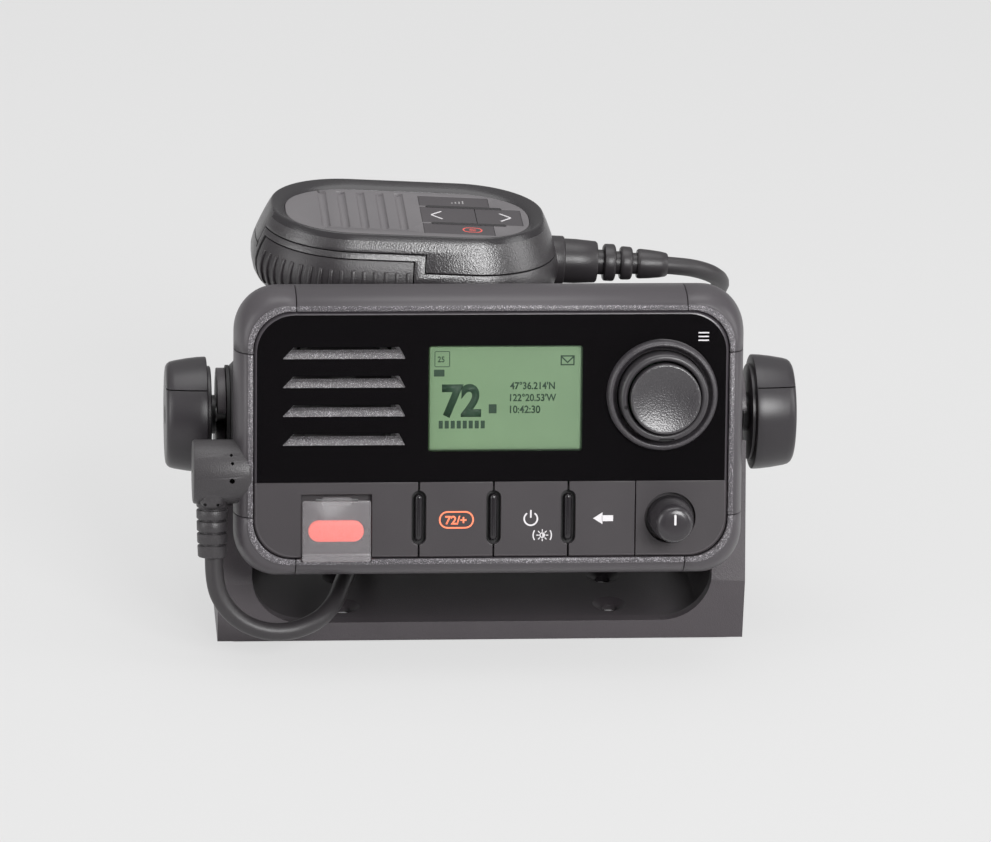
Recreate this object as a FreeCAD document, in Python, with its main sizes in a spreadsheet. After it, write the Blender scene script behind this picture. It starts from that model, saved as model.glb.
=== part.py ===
import FreeCAD, Part
import math
import os
import re

import Sketcher
from FreeCAD import Placement, Rotation, Vector

# A bracket-mounted marine VHF radio with its fist microphone lying on top.
# Millimetres. The row frame has +X to the radio's right, +Y to its back and +Z up, with the origin
# under the middle of the bracket's floor. The radio is built in a frame of its own, whose origin is
# on the clamp axis, and is then leaned back; the microphone is built about the middle of its face.

SIZES = {
    # how the radio sits in its bracket
    "pivot_height": 66.5,
    "tilt_back": 14.3,
    "lip_reach": 45.7,
    # bracket
    "bracket_width": 170.0,
    "bracket_depth": 60.4,
    "web_thickness": 2.6,
    "floor_thickness": 3.3,
    "rim_height": 6.3,
    "rim_side": 10.9,
    "rim_thickness": 4.0,
    "rim_top": 44.0,
    "bend_radius": 16.0,
    "arm_radius": 15.0,
    "taper_start": 20.0,
    "bolt_spacing_x": 87.0,
    "bolt_spacing_y": 22.0,
    "bolt_radius": 2.5,
    "countersink_radius": 5.5,
    "slot_radius": 3.2,
    "slot_mouth": 7.0,
    # front frame
    "bezel_width": 162.0,
    "bezel_height": 92.4,
    "bezel_radius": 15.5,
    "crest_depth": 12.0,
    "frame_depth": 20.0,
    "frame_draft": 1.2,
    "swell_x": 4.0,
    "swell_z": 5.0,
    "lip_width": "=bezel_width - 2 * swell_x",
    "lip_height": "=bezel_height - 2 * swell_z",
    "lip_radius": 14.5,
    "land_x": 1.7,
    "land_z": 1.8,
    "opening_width": "=lip_width - 2 * land_x",
    "opening_height": "=lip_height - 2 * land_z",
    "opening_radius": 12.4,
    "ledge_depth": 3.4,
    "ledge_width": 3.0,
    "cavity_width": "=opening_width - 2 * ledge_width",
    "cavity_height": "=opening_height - 2 * ledge_width",
    "cavity_radius": 8.0,
    "cap_length": 19.4,
    "cap_height": 20.3,
    "cap_x": "=bezel_width / 2 - cap_length",
    "cap_z": "=bezel_height / 2 - cap_height",
    "cap_depth": 14.0,
    "seam_gap": 0.2,
    "corner_screw_inset_x": 5.8,
    "corner_screw_inset_z": 6.6,
    "corner_screw_x": "=bezel_width / 2 - corner_screw_inset_x",
    "corner_screw_z": "=bezel_height / 2 - corner_screw_inset_z",
    "screw_radius": 1.5,
    "screw_head_radius": 2.8,
    "screw_head_height": 2.2,
    "screw_end_gap": 0.4,
    # front panel and key strip
    "panel_gap": 0.2,
    "panel_recess": 0.4,
    "panel_thickness": 2.8,
    "panel_chamfer": 0.9,
    "strip_top": -14.85,
    "louvre_inset": 28.7,
    "louvre_x": "=louvre_inset - opening_width / 2",
    "louvre_top": 26.2,
    "louvre_pitch": 9.17,
    "louvre_length": 36.0,
    "louvre_height": 3.8,
    "window_x": 4.25,
    "window_z": 11.6,
    "window_width": 47.7,
    "window_height": 32.6,
    "glass_thickness": 1.2,
    "key_left": -22.9,
    "key_pitch": 23.7,
    "key_gap": 0.15,
    "key_travel": 0.6,
    "key_rest": 0.2,
    "key_thickness": "=ledge_depth - panel_recess - key_travel - key_rest",
    "divider_z": -26.4,
    "divider_slot_width": 4.6,
    "divider_slot_height": 17.2,
    "divider_width": 2.4,
    "divider_height": 14.8,
    "membrane_thickness": 1.2,
    "board_depth": 9.0,
    "board_thickness": 1.6,
    # distress key
    "distress_inset": 15.2,
    "distress_span": 22.3,
    "distress_left": "=distress_inset - opening_width / 2",
    "distress_right": "=distress_left + distress_span",
    "distress_top": -18.8,
    "cover_width": 21.6,
    "cover_bottom": -40.1,
    "cover_proud": 1.4,
    "cover_thickness": 1.2,
    "cover_hinge_z": -20.4,
    "cover_hinge_radius": 1.0,
    "hinge_pin_radius": 0.5,
    "hinge_pin_length": 13.3,
    "distress_key_width": 17.6,
    "distress_key_height": 6.8,
    "distress_key_z": -30.8,
    "tray_floor": 1.2,
    # channel selector and volume knob
    "selector_inset": 21.4,
    "selector_x": "=opening_width / 2 - selector_inset",
    "selector_z": 12.6,
    "collar_radius": 17.7,
    "collar_top_radius": 15.9,
    "collar_height": 2.6,
    "ring_radius": 14.05,
    "ring_inner_radius": 11.7,
    "ring_height": 7.5,
    "button_radius": 11.15,
    "button_height": 10.4,
    "button_travel": 0.8,
    "volume_inset": 18.3,
    "volume_x": "=opening_width / 2 - volume_inset",
    "volume_z": -26.9,
    "volume_recess_radius": 8.0,
    "volume_base_radius": 7.2,
    "volume_top_radius": 5.3,
    "volume_height": 13.2,
    "volume_travel": 0.8,
    "shaft_radius": 3.0,
    "turning_gap": 0.3,
    "running_gap": 0.05,
    # speaker
    "speaker_radius": 20.0,
    "speaker_depth": 15.0,
    "grille_thickness": 1.6,
    # rear housing
    "housing_width": 142.0,
    "housing_front_height": 61.2,
    "housing_rear_height": 53.6,
    "housing_radius": 7.0,
    "housing_wall": 3.0,
    "housing_end": 106.0,
    "flange_inset_x": 2.0,
    "flange_inset_z": 2.6,
    "flange_width": "=bezel_width - 2 * flange_inset_x",
    "flange_height": "=bezel_height - 2 * flange_inset_z",
    "flange_thickness": 3.0,
    "seal_thickness": 0.8,
    "boss_radius": 17.5,
    "insert_radius": 4.0,
    "washer_thickness": 1.0,
    "clamp_gap": 0.3,
    "boss_reach": "=bracket_width / 2 - web_thickness - washer_thickness - clamp_gap",
    "washer_radius": 15.9,
    "sink_thickness": 3.0,
    "fin_height": 9.0,
    "fin_thickness": 2.0,
    "fin_pitch": 7.6,
    "fin_count": 11,
    "fin_inset": 14.0,
    "housing_screw_inset": 7.0,
    "housing_screw_x": "=housing_width / 2 - housing_screw_inset",
    "housing_screw_z": 21.5,
    "post_radius": 3.0,
    "board_post_inset": 19.0,
    "board_post_x": "=housing_width / 2 - board_post_inset",
    "main_board_inset": 11.0,
    "main_board_z": -14.0,
    "shield_height": 8.0,
    # sockets at the back and on the left side
    "antenna_inset": 25.0,
    "antenna_x": "=housing_width / 2 - antenna_inset",
    "antenna_z": 8.0,
    "antenna_radius": 7.94,
    "antenna_length": 15.0,
    "antenna_bore": 5.9,
    "power_z": -13.5,
    "power_width": 22.0,
    "power_height": 12.0,
    "power_length": 12.0,
    "socket_depth": 9.5,
    "socket_z": -12.65,
    "socket_radius": 5.5,
    "socket_bore": 4.2,
    # side clamp knobs
    "hub_radius": 6.25,
    "hub_height": 1.6,
    "clamp_flange_radius": 15.6,
    "clamp_flange_height": 1.3,
    "clamp_radius": 18.6,
    "clamp_end_radius": 16.9,
    "clamp_length": 13.2,
    "stud_radius": 2.45,
    # microphone plug and cord
    "plug_radius": 10.15,
    "plug_length": 18.2,
    "plug_overlap": 5.2,
    "plug_lip_x": "=bezel_width / 2 - plug_overlap",
    "plug_reach": "=plug_lip_x + plug_length",
    "relief_offset": 6.8,
    "relief_x": "=-bezel_width / 2 - relief_offset",
    "relief_radius": 5.2,
    "relief_end_radius": 4.5,
    "relief_bottom": -40.1,
    "cord_diameter": 5.8,
    "cord_gap": 0.7,
    # microphone
    "mic_x": -21.3,
    "mic_y": 30.0,
    "mic_z": 63.05,
    "mic_lean": 12.5,
    "mic_roll": 2.5,
    "mic_length": 100.5,
    "mic_width": 66.0,
    "mic_radius": 30.0,
    "mic_rim_length": 88.7,
    "mic_rim_width": 54.0,
    "mic_rim_radius": 25.0,
    "mic_back_length": 84.0,
    "mic_back_width": 50.0,
    "mic_back_radius": 22.0,
    "mic_split": 15.0,
    "mic_thickness": 28.0,
    "mic_wall": 2.2,
    "face_length": 80.0,
    "face_width": 44.0,
    "face_radius": 20.0,
    "face_recess": 2.0,
    "face_thickness": 2.2,
    "mic_key_travel": 0.5,
    "mic_key_thickness": "=face_thickness - mic_key_travel - key_rest",
    "mic_key_left": 4.6,
    "mic_row_half": 7.4,
    "mic_row_gap": 1.3,
    "talk_end": 0.5,
    "talk_v": -12.0,
    "talk_top": -7.8,
    "talk_bottom": -24.0,
    "talk_thickness": 3.2,
    "talk_travel": 1.2,
    "hanger_radius": 8.0,
    "hanger_neck_radius": 4.0,
    "hanger_neck": 2.8,
    "hanger_head": 2.5,
    "cord_axis": -16.0,
    "mic_relief_radius": 7.3,
    "mic_relief_length": 36.3,
}

document = FreeCAD.newDocument("marine_radio")
sheet = document.addObject("Spreadsheet::Sheet", "Size")
for row, (alias, value) in enumerate(SIZES.items(), 1):
    sheet.set(f"A{row}", alias)
    sheet.set(f"B{row}", str(value))
    sheet.setAlias(f"B{row}", alias)
document.recompute()


# ---------------------------------------------------------------- small tools for every sub-part

def bound(text):
    """An expression in which each size name points at the sheet."""
    def point(word):
        return "Size." + word[0] if word[0] in SIZES else word[0]
    return re.sub(r"[a-z][a-z_]+", point, str(text))


def number(text):
    """What an expression is worth now, in millimetres."""
    return float(sheet.evalExpression(bound(text)))


def bind(item, prop, text):
    item.setExpression(prop, bound(text))


def move(item, x, y, z):
    bind(item, "Placement.Base.x", x)
    bind(item, "Placement.Base.y", y)
    bind(item, "Placement.Base.z", z)
    return item


def deep(text):
    """The radio's own y at this depth behind the lip of its front frame."""
    return f"({text}) - lip_reach"


def block(name, x_low, x_high, y_low, y_high, z_low, z_high):
    item = document.addObject("Part::Box", name)
    bind(item, "Length", f"({x_high}) - ({x_low})")
    bind(item, "Width", f"({y_high}) - ({y_low})")
    bind(item, "Height", f"({z_high}) - ({z_low})")
    return move(item, x_low, y_low, z_low)


TURNS = {
    "X": Rotation(Vector(0, 1, 0), 90),
    "Y": Rotation(Vector(1, 0, 0), -90),
    "Z": Rotation(),
}


def start_point(axis, start, x, y, z):
    return {"X": (start, y, z), "Y": (x, start, z), "Z": (x, y, start)}[axis]


def rod(name, radius, start, end, axis="Y", x=0, y=0, z=0):
    """A cylinder along an axis, from its start to its end."""
    item = document.addObject("Part::Cylinder", name)
    bind(item, "Radius", radius)
    bind(item, "Height", f"({end}) - ({start})")
    item.Placement.Rotation = TURNS[axis]
    return move(item, *start_point(axis, start, x, y, z))


def taper(name, start_radius, end_radius, start, end, axis="Y", x=0, y=0, z=0):
    item = document.addObject("Part::Cone", name)
    bind(item, "Radius1", start_radius)
    bind(item, "Radius2", end_radius)
    bind(item, "Height", f"({end}) - ({start})")
    item.Placement.Rotation = TURNS[axis]
    return move(item, *start_point(axis, start, x, y, z))


def fuse(name, *items):
    whole = document.addObject("Part::MultiFuse", name)
    whole.Shapes = list(items)
    return whole


def cut(name, base, *tools):
    rest = document.addObject("Part::Cut", name)
    rest.Base = base
    rest.Tool = tools[0] if len(tools) == 1 else fuse(name + "_tools", *tools)
    return rest


def common(name, first, second):
    shared = document.addObject("Part::Common", name)
    shared.Base = first
    shared.Tool = second
    return shared


def mirrored(name, source, normal):
    twin = document.addObject("Part::Mirroring", name)
    twin.Source = source
    twin.Normal = normal
    twin.Base = Vector(0, 0, 0)
    return twin


def sketch_on(body, name, role="XZ_Plane"):
    sketch = body.newObject("Sketcher::SketchObject", name)
    plane = [item for item in body.Origin.OriginFeatures if item.Role == role][0]
    sketch.AttachmentSupport = (plane, [""])
    sketch.MapMode = "FlatFace"
    return sketch


def polygon(sketch, corners):
    """Closed straight-sided outline whose corners are bound to expressions."""
    spots = [Vector(number(across), number(along), 0) for across, along in corners]
    count = len(spots)
    for index in range(count):
        sketch.addGeometry(Part.LineSegment(spots[index], spots[(index + 1) % count]), False)
    for index in range(count):
        sketch.addConstraint(Sketcher.Constraint("Coincident", index, 2, (index + 1) % count, 1))
    for index, (across, along) in enumerate(corners):
        for kind, text in (("DistanceX", across), ("DistanceY", along)):
            rule = sketch.addConstraint(
                Sketcher.Constraint(kind, -1, 1, index, 1, number(text)))
            bind(sketch, f"Constraints[{rule}]", text)


def tile(name, width, height, radius, front, back, x=0, z=0, chamfer=None):
    """A slab facing -Y with rounded corners, between two values of y."""
    body = document.addObject("PartDesign::Body", name)
    sketch = sketch_on(body, name + "_sketch")
    polygon(sketch, [
        (f"-({width}) / 2", f"-({height}) / 2"), (f"({width}) / 2", f"-({height}) / 2"),
        (f"({width}) / 2", f"({height}) / 2"), (f"-({width}) / 2", f"({height}) / 2")])
    pad = body.newObject("PartDesign::Pad", name + "_pad")
    pad.Profile = sketch
    pad.Reversed = True
    bind(pad, "Length", f"({back}) - ({front})")
    document.recompute()
    corners = []
    for index, edge in enumerate(pad.Shape.Edges, 1):
        if abs(edge.tangentAt(edge.FirstParameter).y) > 0.99:
            corners.append(f"Edge{index}")
    fillet = body.newObject("PartDesign::Fillet", name + "_corners")
    fillet.Base = (pad, corners)
    bind(fillet, "Radius", radius)
    body.Tip = fillet
    if chamfer:
        document.recompute()
        front_edges = []
        for index, edge in enumerate(fillet.Shape.Edges, 1):
            if max(abs(vertex.Point.y) for vertex in edge.Vertexes) < 1e-4:
                front_edges.append(f"Edge{index}")
        bevel = body.newObject("PartDesign::Chamfer", name + "_bevel")
        bevel.Base = (fillet, front_edges)
        bind(bevel, "Size", chamfer)
        body.Tip = bevel
    return move(body, x, front, z)


def lathe(name, profile, axis="Y", x=0, y=0, z=0):
    """A turned solid. The profile lists (radius, place along the axis) and starts on the axis."""
    body = document.addObject("PartDesign::Body", name)
    sketch = sketch_on(body, name + "_sketch")
    polygon(sketch, profile)
    turned = body.newObject("PartDesign::Revolution", name + "_turned")
    turned.Profile = sketch
    turned.ReferenceAxis = (sketch, ["V_Axis"])
    turned.Angle = 360
    body.Tip = turned
    body.Placement.Rotation = TURNS[axis]
    return move(body, *start_point(axis, 0, x, y, z))


def outline(width, height, radius):
    """A rounded rectangle as one wire in the XY plane, about the origin."""
    side = number(width) / 2
    top = number(height) / 2
    round_off = min(number(radius), side - 0.01, top - 0.01)
    edges = []
    centres = [(side - round_off, top - round_off), (round_off - side, top - round_off),
               (round_off - side, round_off - top), (side - round_off, round_off - top)]
    arcs = []
    for quarter, (across, up) in enumerate(centres):
        ring = Part.Circle(Vector(across, up, 0), Vector(0, 0, 1), round_off)
        arcs.append(Part.Arc(ring, quarter * math.pi / 2, (quarter + 1) * math.pi / 2))
    for index, arc in enumerate(arcs):
        edges.append(arc.toShape())
        edges.append(Part.LineSegment(arc.EndPoint, arcs[(index + 1) % 4].StartPoint).toShape())
    return Part.Wire(edges)


def feature(name, shape):
    item = document.addObject("Part::Feature", name)
    item.Shape = shape
    return item


def upright_loft(name, sections):
    """A skin through rounded rectangles that face -Y: (width, height, radius, y) each."""
    wires = []
    for width, height, radius, y in sections:
        wire = outline(width, height, radius)
        wire.Placement = Placement(Vector(0, number(y), 0), Rotation(Vector(1, 0, 0), 90))
        wires.append(wire)
    return feature(name, Part.makeLoft(wires, True, False))


def flat_loft(name, sections):
    """A skin through rounded rectangles that face +Z: (length, width, radius, z) each."""
    wires = []
    for length, width, radius, z in sections:
        wire = outline(length, width, radius)
        wire.Placement = Placement(Vector(0, 0, number(z)), Rotation())
        wires.append(wire)
    return feature(name, Part.makeLoft(wires, True, False))


radio_place = Placement(
    Vector(0, 0, number("pivot_height")), Rotation(Vector(1, 0, 0), -number("tilt_back")))
mic_turn = Rotation(Vector(0, 1, 0), number("mic_roll")).multiply(
    Rotation(Vector(1, 0, 0), number("mic_lean")))
mic_place = radio_place.multiply(
    Placement(Vector(number("mic_x"), number("mic_y"), number("mic_z")), mic_turn))
nodes = {}


def node(label, place, *items):
    """Name a finished sub-part and put it where it belongs."""
    bundle = document.addObject("Part::Compound", label)
    bundle.Label = label
    bundle.Links = list(items)
    bundle.Placement = place
    nodes[label] = bundle


# ---------------------------------------------------------------- trunnion bracket
# A moulded U of thin floor and arms, stiffened by inward rims along its front and rear edges. Each
# arm narrows to a round end, with a slot open to the front for the clamp stud.

def side_prism(name, inset):
    """The bracket seen from its side, as a prism across its whole width."""
    half = f"bracket_depth / 2 - ({inset})"
    round_end = f"arm_radius - ({inset})"
    corners = [(f"-({half})", "0"), (half, "0"), (half, "taper_start"),
               (round_end, "pivot_height"), (f"-({round_end})", "pivot_height"),
               (f"-({half})", "taper_start")]
    body = document.addObject("PartDesign::Body", name + "_body")
    sketch = sketch_on(body, name + "_sketch", "YZ_Plane")
    polygon(sketch, corners)
    pad = body.newObject("PartDesign::Pad", name + "_pad")
    pad.Profile = sketch
    pad.Midplane = True
    bind(pad, "Length", "bracket_width")
    body.Tip = pad
    end = rod(name + "_end", round_end, "-bracket_width / 2", "bracket_width / 2", "X",
              z="pivot_height")
    return fuse(name, body, end)


bracket_top = "pivot_height + arm_radius"


def bracket_u(name, side, floor, radius):
    """An upright U as deep as the bracket, with this wall and floor."""
    void = tile(name + "_void", f"bracket_width - 2 * ({side})", f"2 * ({bracket_top})", radius,
                "-bracket_depth", "bracket_depth", z=f"({floor}) + {bracket_top}")
    solid = block(name + "_solid", "-bracket_width / 2", "bracket_width / 2",
                  "-bracket_depth / 2", "bracket_depth / 2", "0", bracket_top)
    return cut(name, solid, void)


thin_u = common("bracket_thin", side_prism("bracket_side", "0"),
                bracket_u("thin_u", "web_thickness", "floor_thickness", "bend_radius - rim_side / 2"))
rim_outer = side_prism("rim_side_outer", "0")
rim_inner = side_prism("rim_side_inner", "rim_thickness")
rim_band = cut("rim_band", rim_outer, rim_inner,
               block("rim_end", "-bracket_width", "bracket_width", "-bracket_depth",
                     "bracket_depth", "rim_top", f"2 * ({bracket_top})"))
rims = common("bracket_rims", rim_band, bracket_u("rim_u", "rim_side", "rim_height", "bend_radius"))
bracket_holes = []
for side_x in (-1, 1):
    for side_y in (-1, 1):
        spot = {"x": f"{side_x} * bolt_spacing_x / 2", "y": f"{side_y} * bolt_spacing_y / 2"}
        bracket_holes.append(rod(f"floor_hole_{side_x + 1}{side_y + 1}", "bolt_radius", "-1",
                                 "floor_thickness + 1", "Z", **spot))
        bracket_holes.append(taper(
            f"countersink_{side_x + 1}{side_y + 1}", "bolt_radius", "countersink_radius",
            "floor_thickness - 1.6", "floor_thickness + 0.01", "Z", **spot))
bracket_holes.append(rod("stud_slot_end", "slot_radius", "-bracket_width", "bracket_width", "X",
                         z="pivot_height"))
bracket_holes.append(block("stud_slot", "-bracket_width", "bracket_width", "-2 * arm_radius", "0",
                           "pivot_height - slot_radius", "pivot_height + slot_radius"))
mouth_body = document.addObject("PartDesign::Body", "slot_mouth_body")
mouth_sketch = sketch_on(mouth_body, "slot_mouth_sketch", "YZ_Plane")
polygon(mouth_sketch, [
    ("-slot_radius * 2", "pivot_height + slot_radius"),
    ("-slot_radius * 2", "pivot_height - slot_radius"),
    ("-arm_radius - 1", "pivot_height - slot_mouth"),
    ("-arm_radius - 1", "pivot_height + slot_mouth")])
mouth_pad = mouth_body.newObject("PartDesign::Pad", "slot_mouth_pad")
mouth_pad.Profile = mouth_sketch
mouth_pad.Midplane = True
bind(mouth_pad, "Length", "2 * bracket_width")
mouth_body.Tip = mouth_pad
bracket_holes.append(mouth_body)
bracket_blank = fuse("bracket_blank", thin_u, rims)
node("trunnion_bracket", Placement(), cut("bracket", bracket_blank, *bracket_holes))

# ---------------------------------------------------------------- front frame and corner caps
# A moulded ring around the whole face. It swells from its narrow textured lip to a wide crest. Four
# caps make its corners and cover the corner screws.

frame_outer = upright_loft("frame_outer", [
    ("lip_width", "lip_height", "lip_radius", deep("0")),
    ("lip_width + 0.55 * (bezel_width - lip_width)",
     "lip_height + 0.55 * (bezel_height - lip_height)", "lip_radius", deep("crest_depth / 4")),
    ("bezel_width", "bezel_height", "bezel_radius", deep("crest_depth")),
    ("bezel_width - frame_draft", "bezel_height - frame_draft", "bezel_radius",
     deep("frame_depth"))])
frame_opening = tile("frame_opening", "opening_width", "opening_height", "opening_radius",
                     deep("-2"), deep("ledge_depth"))
frame_cavity = tile("frame_cavity", "cavity_width", "cavity_height", "cavity_radius",
                    deep("ledge_depth - 1"), deep("frame_depth + 2"))
cover_notch = block("cover_notch", "distress_left - seam_gap", "distress_right",
                    deep("-cover_proud - 5"), deep("panel_recess + 1.2"),
                    "cover_bottom - seam_gap", "distress_top")
frame_ring = cut("frame_ring", frame_outer, frame_opening, frame_cavity)
cap_blocks = []
cap_seats = []
for side_x in (-1, 1):
    for side_z in (-1, 1):
        tag = f"{side_x + 1}{side_z + 1}"
        for bin_list, gap, name in ((cap_blocks, "seam_gap", "cap_block_"),
                                    (cap_seats, "0", "cap_seat_")):
            near = f"cap_x + ({gap})"
            low = f"cap_z + ({gap})"
            x_pair = (near, "bezel_width") if side_x > 0 else ("-bezel_width", f"-({near})")
            z_pair = (low, "bezel_height") if side_z > 0 else ("-bezel_height", f"-({low})")
            bin_list.append(block(name + tag, *x_pair, deep("-5"), deep(f"cap_depth - ({gap})"),
                                  *z_pair))


def corner_rods(name, radius, start, end):
    """One rod at each of the four corner screws."""
    rods = []
    for side_x in (-1, 1):
        for side_z in (-1, 1):
            rods.append(rod(f"{name}_{side_x + 1}{side_z + 1}", radius, deep(start), deep(end),
                            x=f"{side_x} * corner_screw_x", z=f"{side_z} * corner_screw_z"))
    return rods


caps = common("caps", frame_ring, fuse("cap_region", *cap_blocks))
node("corner_caps", radio_place,
     cut("corner_caps_cut", caps, cover_notch,
         *corner_rods("cap_pocket", "screw_head_radius + 0.3", "cap_depth - screw_head_height - 0.4",
                      "cap_depth + 1")))
socket_hole = rod("socket_hole", "socket_radius", "-bezel_width", "-cavity_width / 2 + 5", "X",
                  y=deep("socket_depth"), z="socket_z")
node("front_frame", radio_place,
     cut("front_frame_cut", frame_ring, cover_notch, socket_hole,
         *cap_seats, *corner_rods("frame_screw_hole", "screw_radius", "cap_depth - 1",
                                  "frame_depth + 1")))
screw_heads = corner_rods("corner_head", "screw_head_radius", "cap_depth - screw_head_height",
                          "cap_depth")
screw_shanks = corner_rods("corner_shank", "screw_radius", "cap_depth - 0.5",
                           "frame_depth + seal_thickness + flange_thickness - screw_end_gap")
for_corner_screws = []
for index, (head, shank) in enumerate(zip(screw_heads, screw_shanks)):
    for_corner_screws.append(fuse(f"corner_screw_{index}", head, shank))
node("corner_screws", radio_place, *for_corner_screws)

# ---------------------------------------------------------------- front panel
# The glossy upper panel and the matt key strip are two mouldings of one outline, which sit on the
# frame's ledge with a bevel all round.

panel_width = "opening_width - 2 * panel_gap"
panel_height = "opening_height - 2 * panel_gap"
panel_back = "panel_recess + panel_thickness"
plate = tile("panel_plate", panel_width, panel_height, "opening_radius - panel_gap",
             deep("panel_recess"), deep(panel_back), chamfer="panel_chamfer")
upper_half = block("upper_half", "-bezel_width", "bezel_width", deep("-5"), deep("frame_depth"),
                   "strip_top", "bezel_height")
lower_half = block("lower_half", "-bezel_width", "bezel_width", deep("-5"), deep("frame_depth"),
                   "-bezel_height", "strip_top - 0.1")
louvres = []
for index in range(4):
    louvres.append(tile(f"louvre_{index}", "louvre_length", "louvre_height",
                        "louvre_height / 2 - 0.05", deep("-1"), deep(panel_back + " + 1"),
                        x="louvre_x", z=f"louvre_top - {index} * louvre_pitch"))
window_cut = tile("window_cut", "window_width + 1", "window_height + 1", "1", deep("-1"),
                  deep(panel_back + " + 1"), x="window_x", z="window_z")
selector_hole = rod("selector_hole", "ring_radius + turning_gap", deep("-5"), deep("frame_depth"),
                    x="selector_x", z="selector_z")
node("front_panel", radio_place,
     cut("front_panel_cut", common("upper_plate", plate, upper_half), window_cut, selector_hole,
         *louvres))
node("display_glass", radio_place,
     tile("glass", "window_width + 0.8", "window_height + 0.8", "0.9", deep("panel_recess"),
          deep("panel_recess + glass_thickness"), x="window_x", z="window_z"))
glass_back = "panel_recess + glass_thickness + 0.1"
lcd_face = tile("lcd_face", "window_width", "window_height", "0.5", deep(glass_back),
                deep(panel_back + " + 1"), x="window_x", z="window_z")
lcd_can = tile("lcd_can", "window_width + 8", "window_height + 6", "1", deep(panel_back + " + 0.1"),
               deep("board_depth"), x="window_x", z="window_z")
node("lcd_module", radio_place, fuse("lcd", lcd_face, lcd_can))

# ---------------------------------------------------------------- key strip, keys and dividers
# Three keys stand side by side in the strip, flush with it. A slot with an upright bar in it marks
# each seam.

key_back = "panel_recess + key_thickness"
divider_slots = []
divider_bars = []
for index in range(3):
    divider_x = f"key_left + {index} * key_pitch"
    divider_slots.append(tile(
        f"divider_slot_{index}", "divider_slot_width", "divider_slot_height",
        "divider_slot_width / 2 - 0.05", deep("-1"), deep(panel_back + " + 1"), x=divider_x,
        z="divider_z"))
    divider_bars.append(tile(
        f"divider_bar_{index}", "divider_width", "divider_height", "divider_width / 2 - 0.05",
        deep("panel_recess + 0.5"), deep("ledge_depth"), x=divider_x, z="divider_z"))
lower_plate = common("lower_plate", plate, lower_half)
key_names = ("key_channel", "key_power", "key_back")
key_gaps = []
for index, name in enumerate(key_names):
    left = f"key_left + {index} * key_pitch"
    right = f"({left}) + key_pitch" if index < 2 else "volume_x - volume_recess_radius - 3"
    key_slab = block(name + "_slab", f"{left} + key_gap", f"{right} - key_gap", deep("-5"),
                     deep(key_back), "-bezel_height", "bezel_height")
    key_plate = common(name + "_plate", lower_plate, key_slab)
    node(name, radio_place, cut(name + "_cut", key_plate, *divider_slots[index:index + 2]))
    if index == 0:
        key_gaps.append(block("key_row", left, "volume_x - volume_recess_radius - 3", deep("-5"),
                              deep("frame_depth"), "-bezel_height", "strip_top + 1"))
node("key_dividers", radio_place, *divider_bars)

tray = block("tray_plate", "distress_left", "distress_right + 1.2", deep(panel_back + " - 0.3"),
             deep(f"{panel_back} + tray_floor"), "-cavity_height / 2 + 0.3", "distress_top + 1.2")
distress_recess = block("distress_recess", "distress_left", "distress_right", deep("-5"),
                        deep(panel_back), "-bezel_height", "distress_top")
lugs = []
pin_mid = "(distress_left + distress_right) / 2"
for side in (-1, 1):
    inner = f"{pin_mid} + {side} * (hinge_pin_length / 2 - 1.6)"
    outer = f"{pin_mid} + {side} * hinge_pin_length / 2"
    low, high = (inner, outer) if side > 0 else (outer, inner)
    lug = block(f"lug_{side + 1}", low, high, deep("-cover_proud + cover_hinge_radius - 0.7"),
                deep(panel_back + " + 0.2"), "cover_hinge_z - 0.9", "distress_top + 0.5")
    lugs.append(lug)
hinge_y = "cover_hinge_radius - cover_proud"
pin_hole = rod("pin_hole", "hinge_pin_radius", "distress_left", "distress_right", "X",
               y=deep(hinge_y), z="cover_hinge_z")
distress_key_hole = tile(
    "distress_key_hole", "distress_key_width + 0.5", "distress_key_height + 0.5",
    "distress_key_height / 2 + 0.2", deep("-5"), deep(panel_back + " + 5"), x=pin_mid,
    z="distress_key_z")
volume_recess = rod("volume_recess", "volume_recess_radius", deep("-5"), deep("panel_recess + 2"),
                    x="volume_x", z="volume_z")
volume_hole = rod("volume_hole", "shaft_radius + turning_gap", deep("-5"), deep("frame_depth"),
                  x="volume_x", z="volume_z")
strip_cut = cut("strip_cut", lower_plate, key_gaps[0], divider_slots[0], distress_recess,
                volume_recess)
rail_low = "strip_top - 1.25"
rail_high = "strip_top - key_gap"
row_end = "volume_x - volume_recess_radius - 3"
rail = fuse("key_rail",
            block("rail_bar", "key_left - 4", f"{row_end} + 3", deep(f"{panel_back} + 0.1"),
                  deep(f"{panel_back} + 1.1"), rail_low, rail_high),
            block("rail_left", "key_left - 4", "key_left - 1", deep(f"{panel_back} - 0.3"),
                  deep(f"{panel_back} + 1.1"), rail_low, rail_high),
            block("rail_right", f"{row_end} + key_gap", f"{row_end} + 3",
                  deep(f"{panel_back} - 0.3"), deep(f"{panel_back} + 1.1"), rail_low, rail_high))
strip_whole = fuse("strip_whole", strip_cut, tray, rail, *lugs)
node("key_panel", radio_place,
     cut("key_panel_cut", strip_whole, distress_key_hole, volume_hole, pin_hole))

membrane = block("membrane_sheet", "key_left - 4", "volume_x - volume_recess_radius - 5",
                 deep("ledge_depth"), deep("ledge_depth + membrane_thickness"),
                 "-cavity_height / 2 + 0.4", "strip_top - 1.5")
pucks = []
for index in range(3):
    pucks.append(rod(f"puck_{index}", "3", deep("ledge_depth + membrane_thickness / 2"),
                     deep("board_depth - 0.3"), x=f"key_left + {index + 0.5} * key_pitch",
                     z="divider_z"))
node("keypad_membrane", radio_place, fuse("membrane", membrane, *pucks))

# ---------------------------------------------------------------- distress key under its cover
# A red key in a recess. A clear lid hangs over it from a pin and a spring shuts it again.

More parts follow.
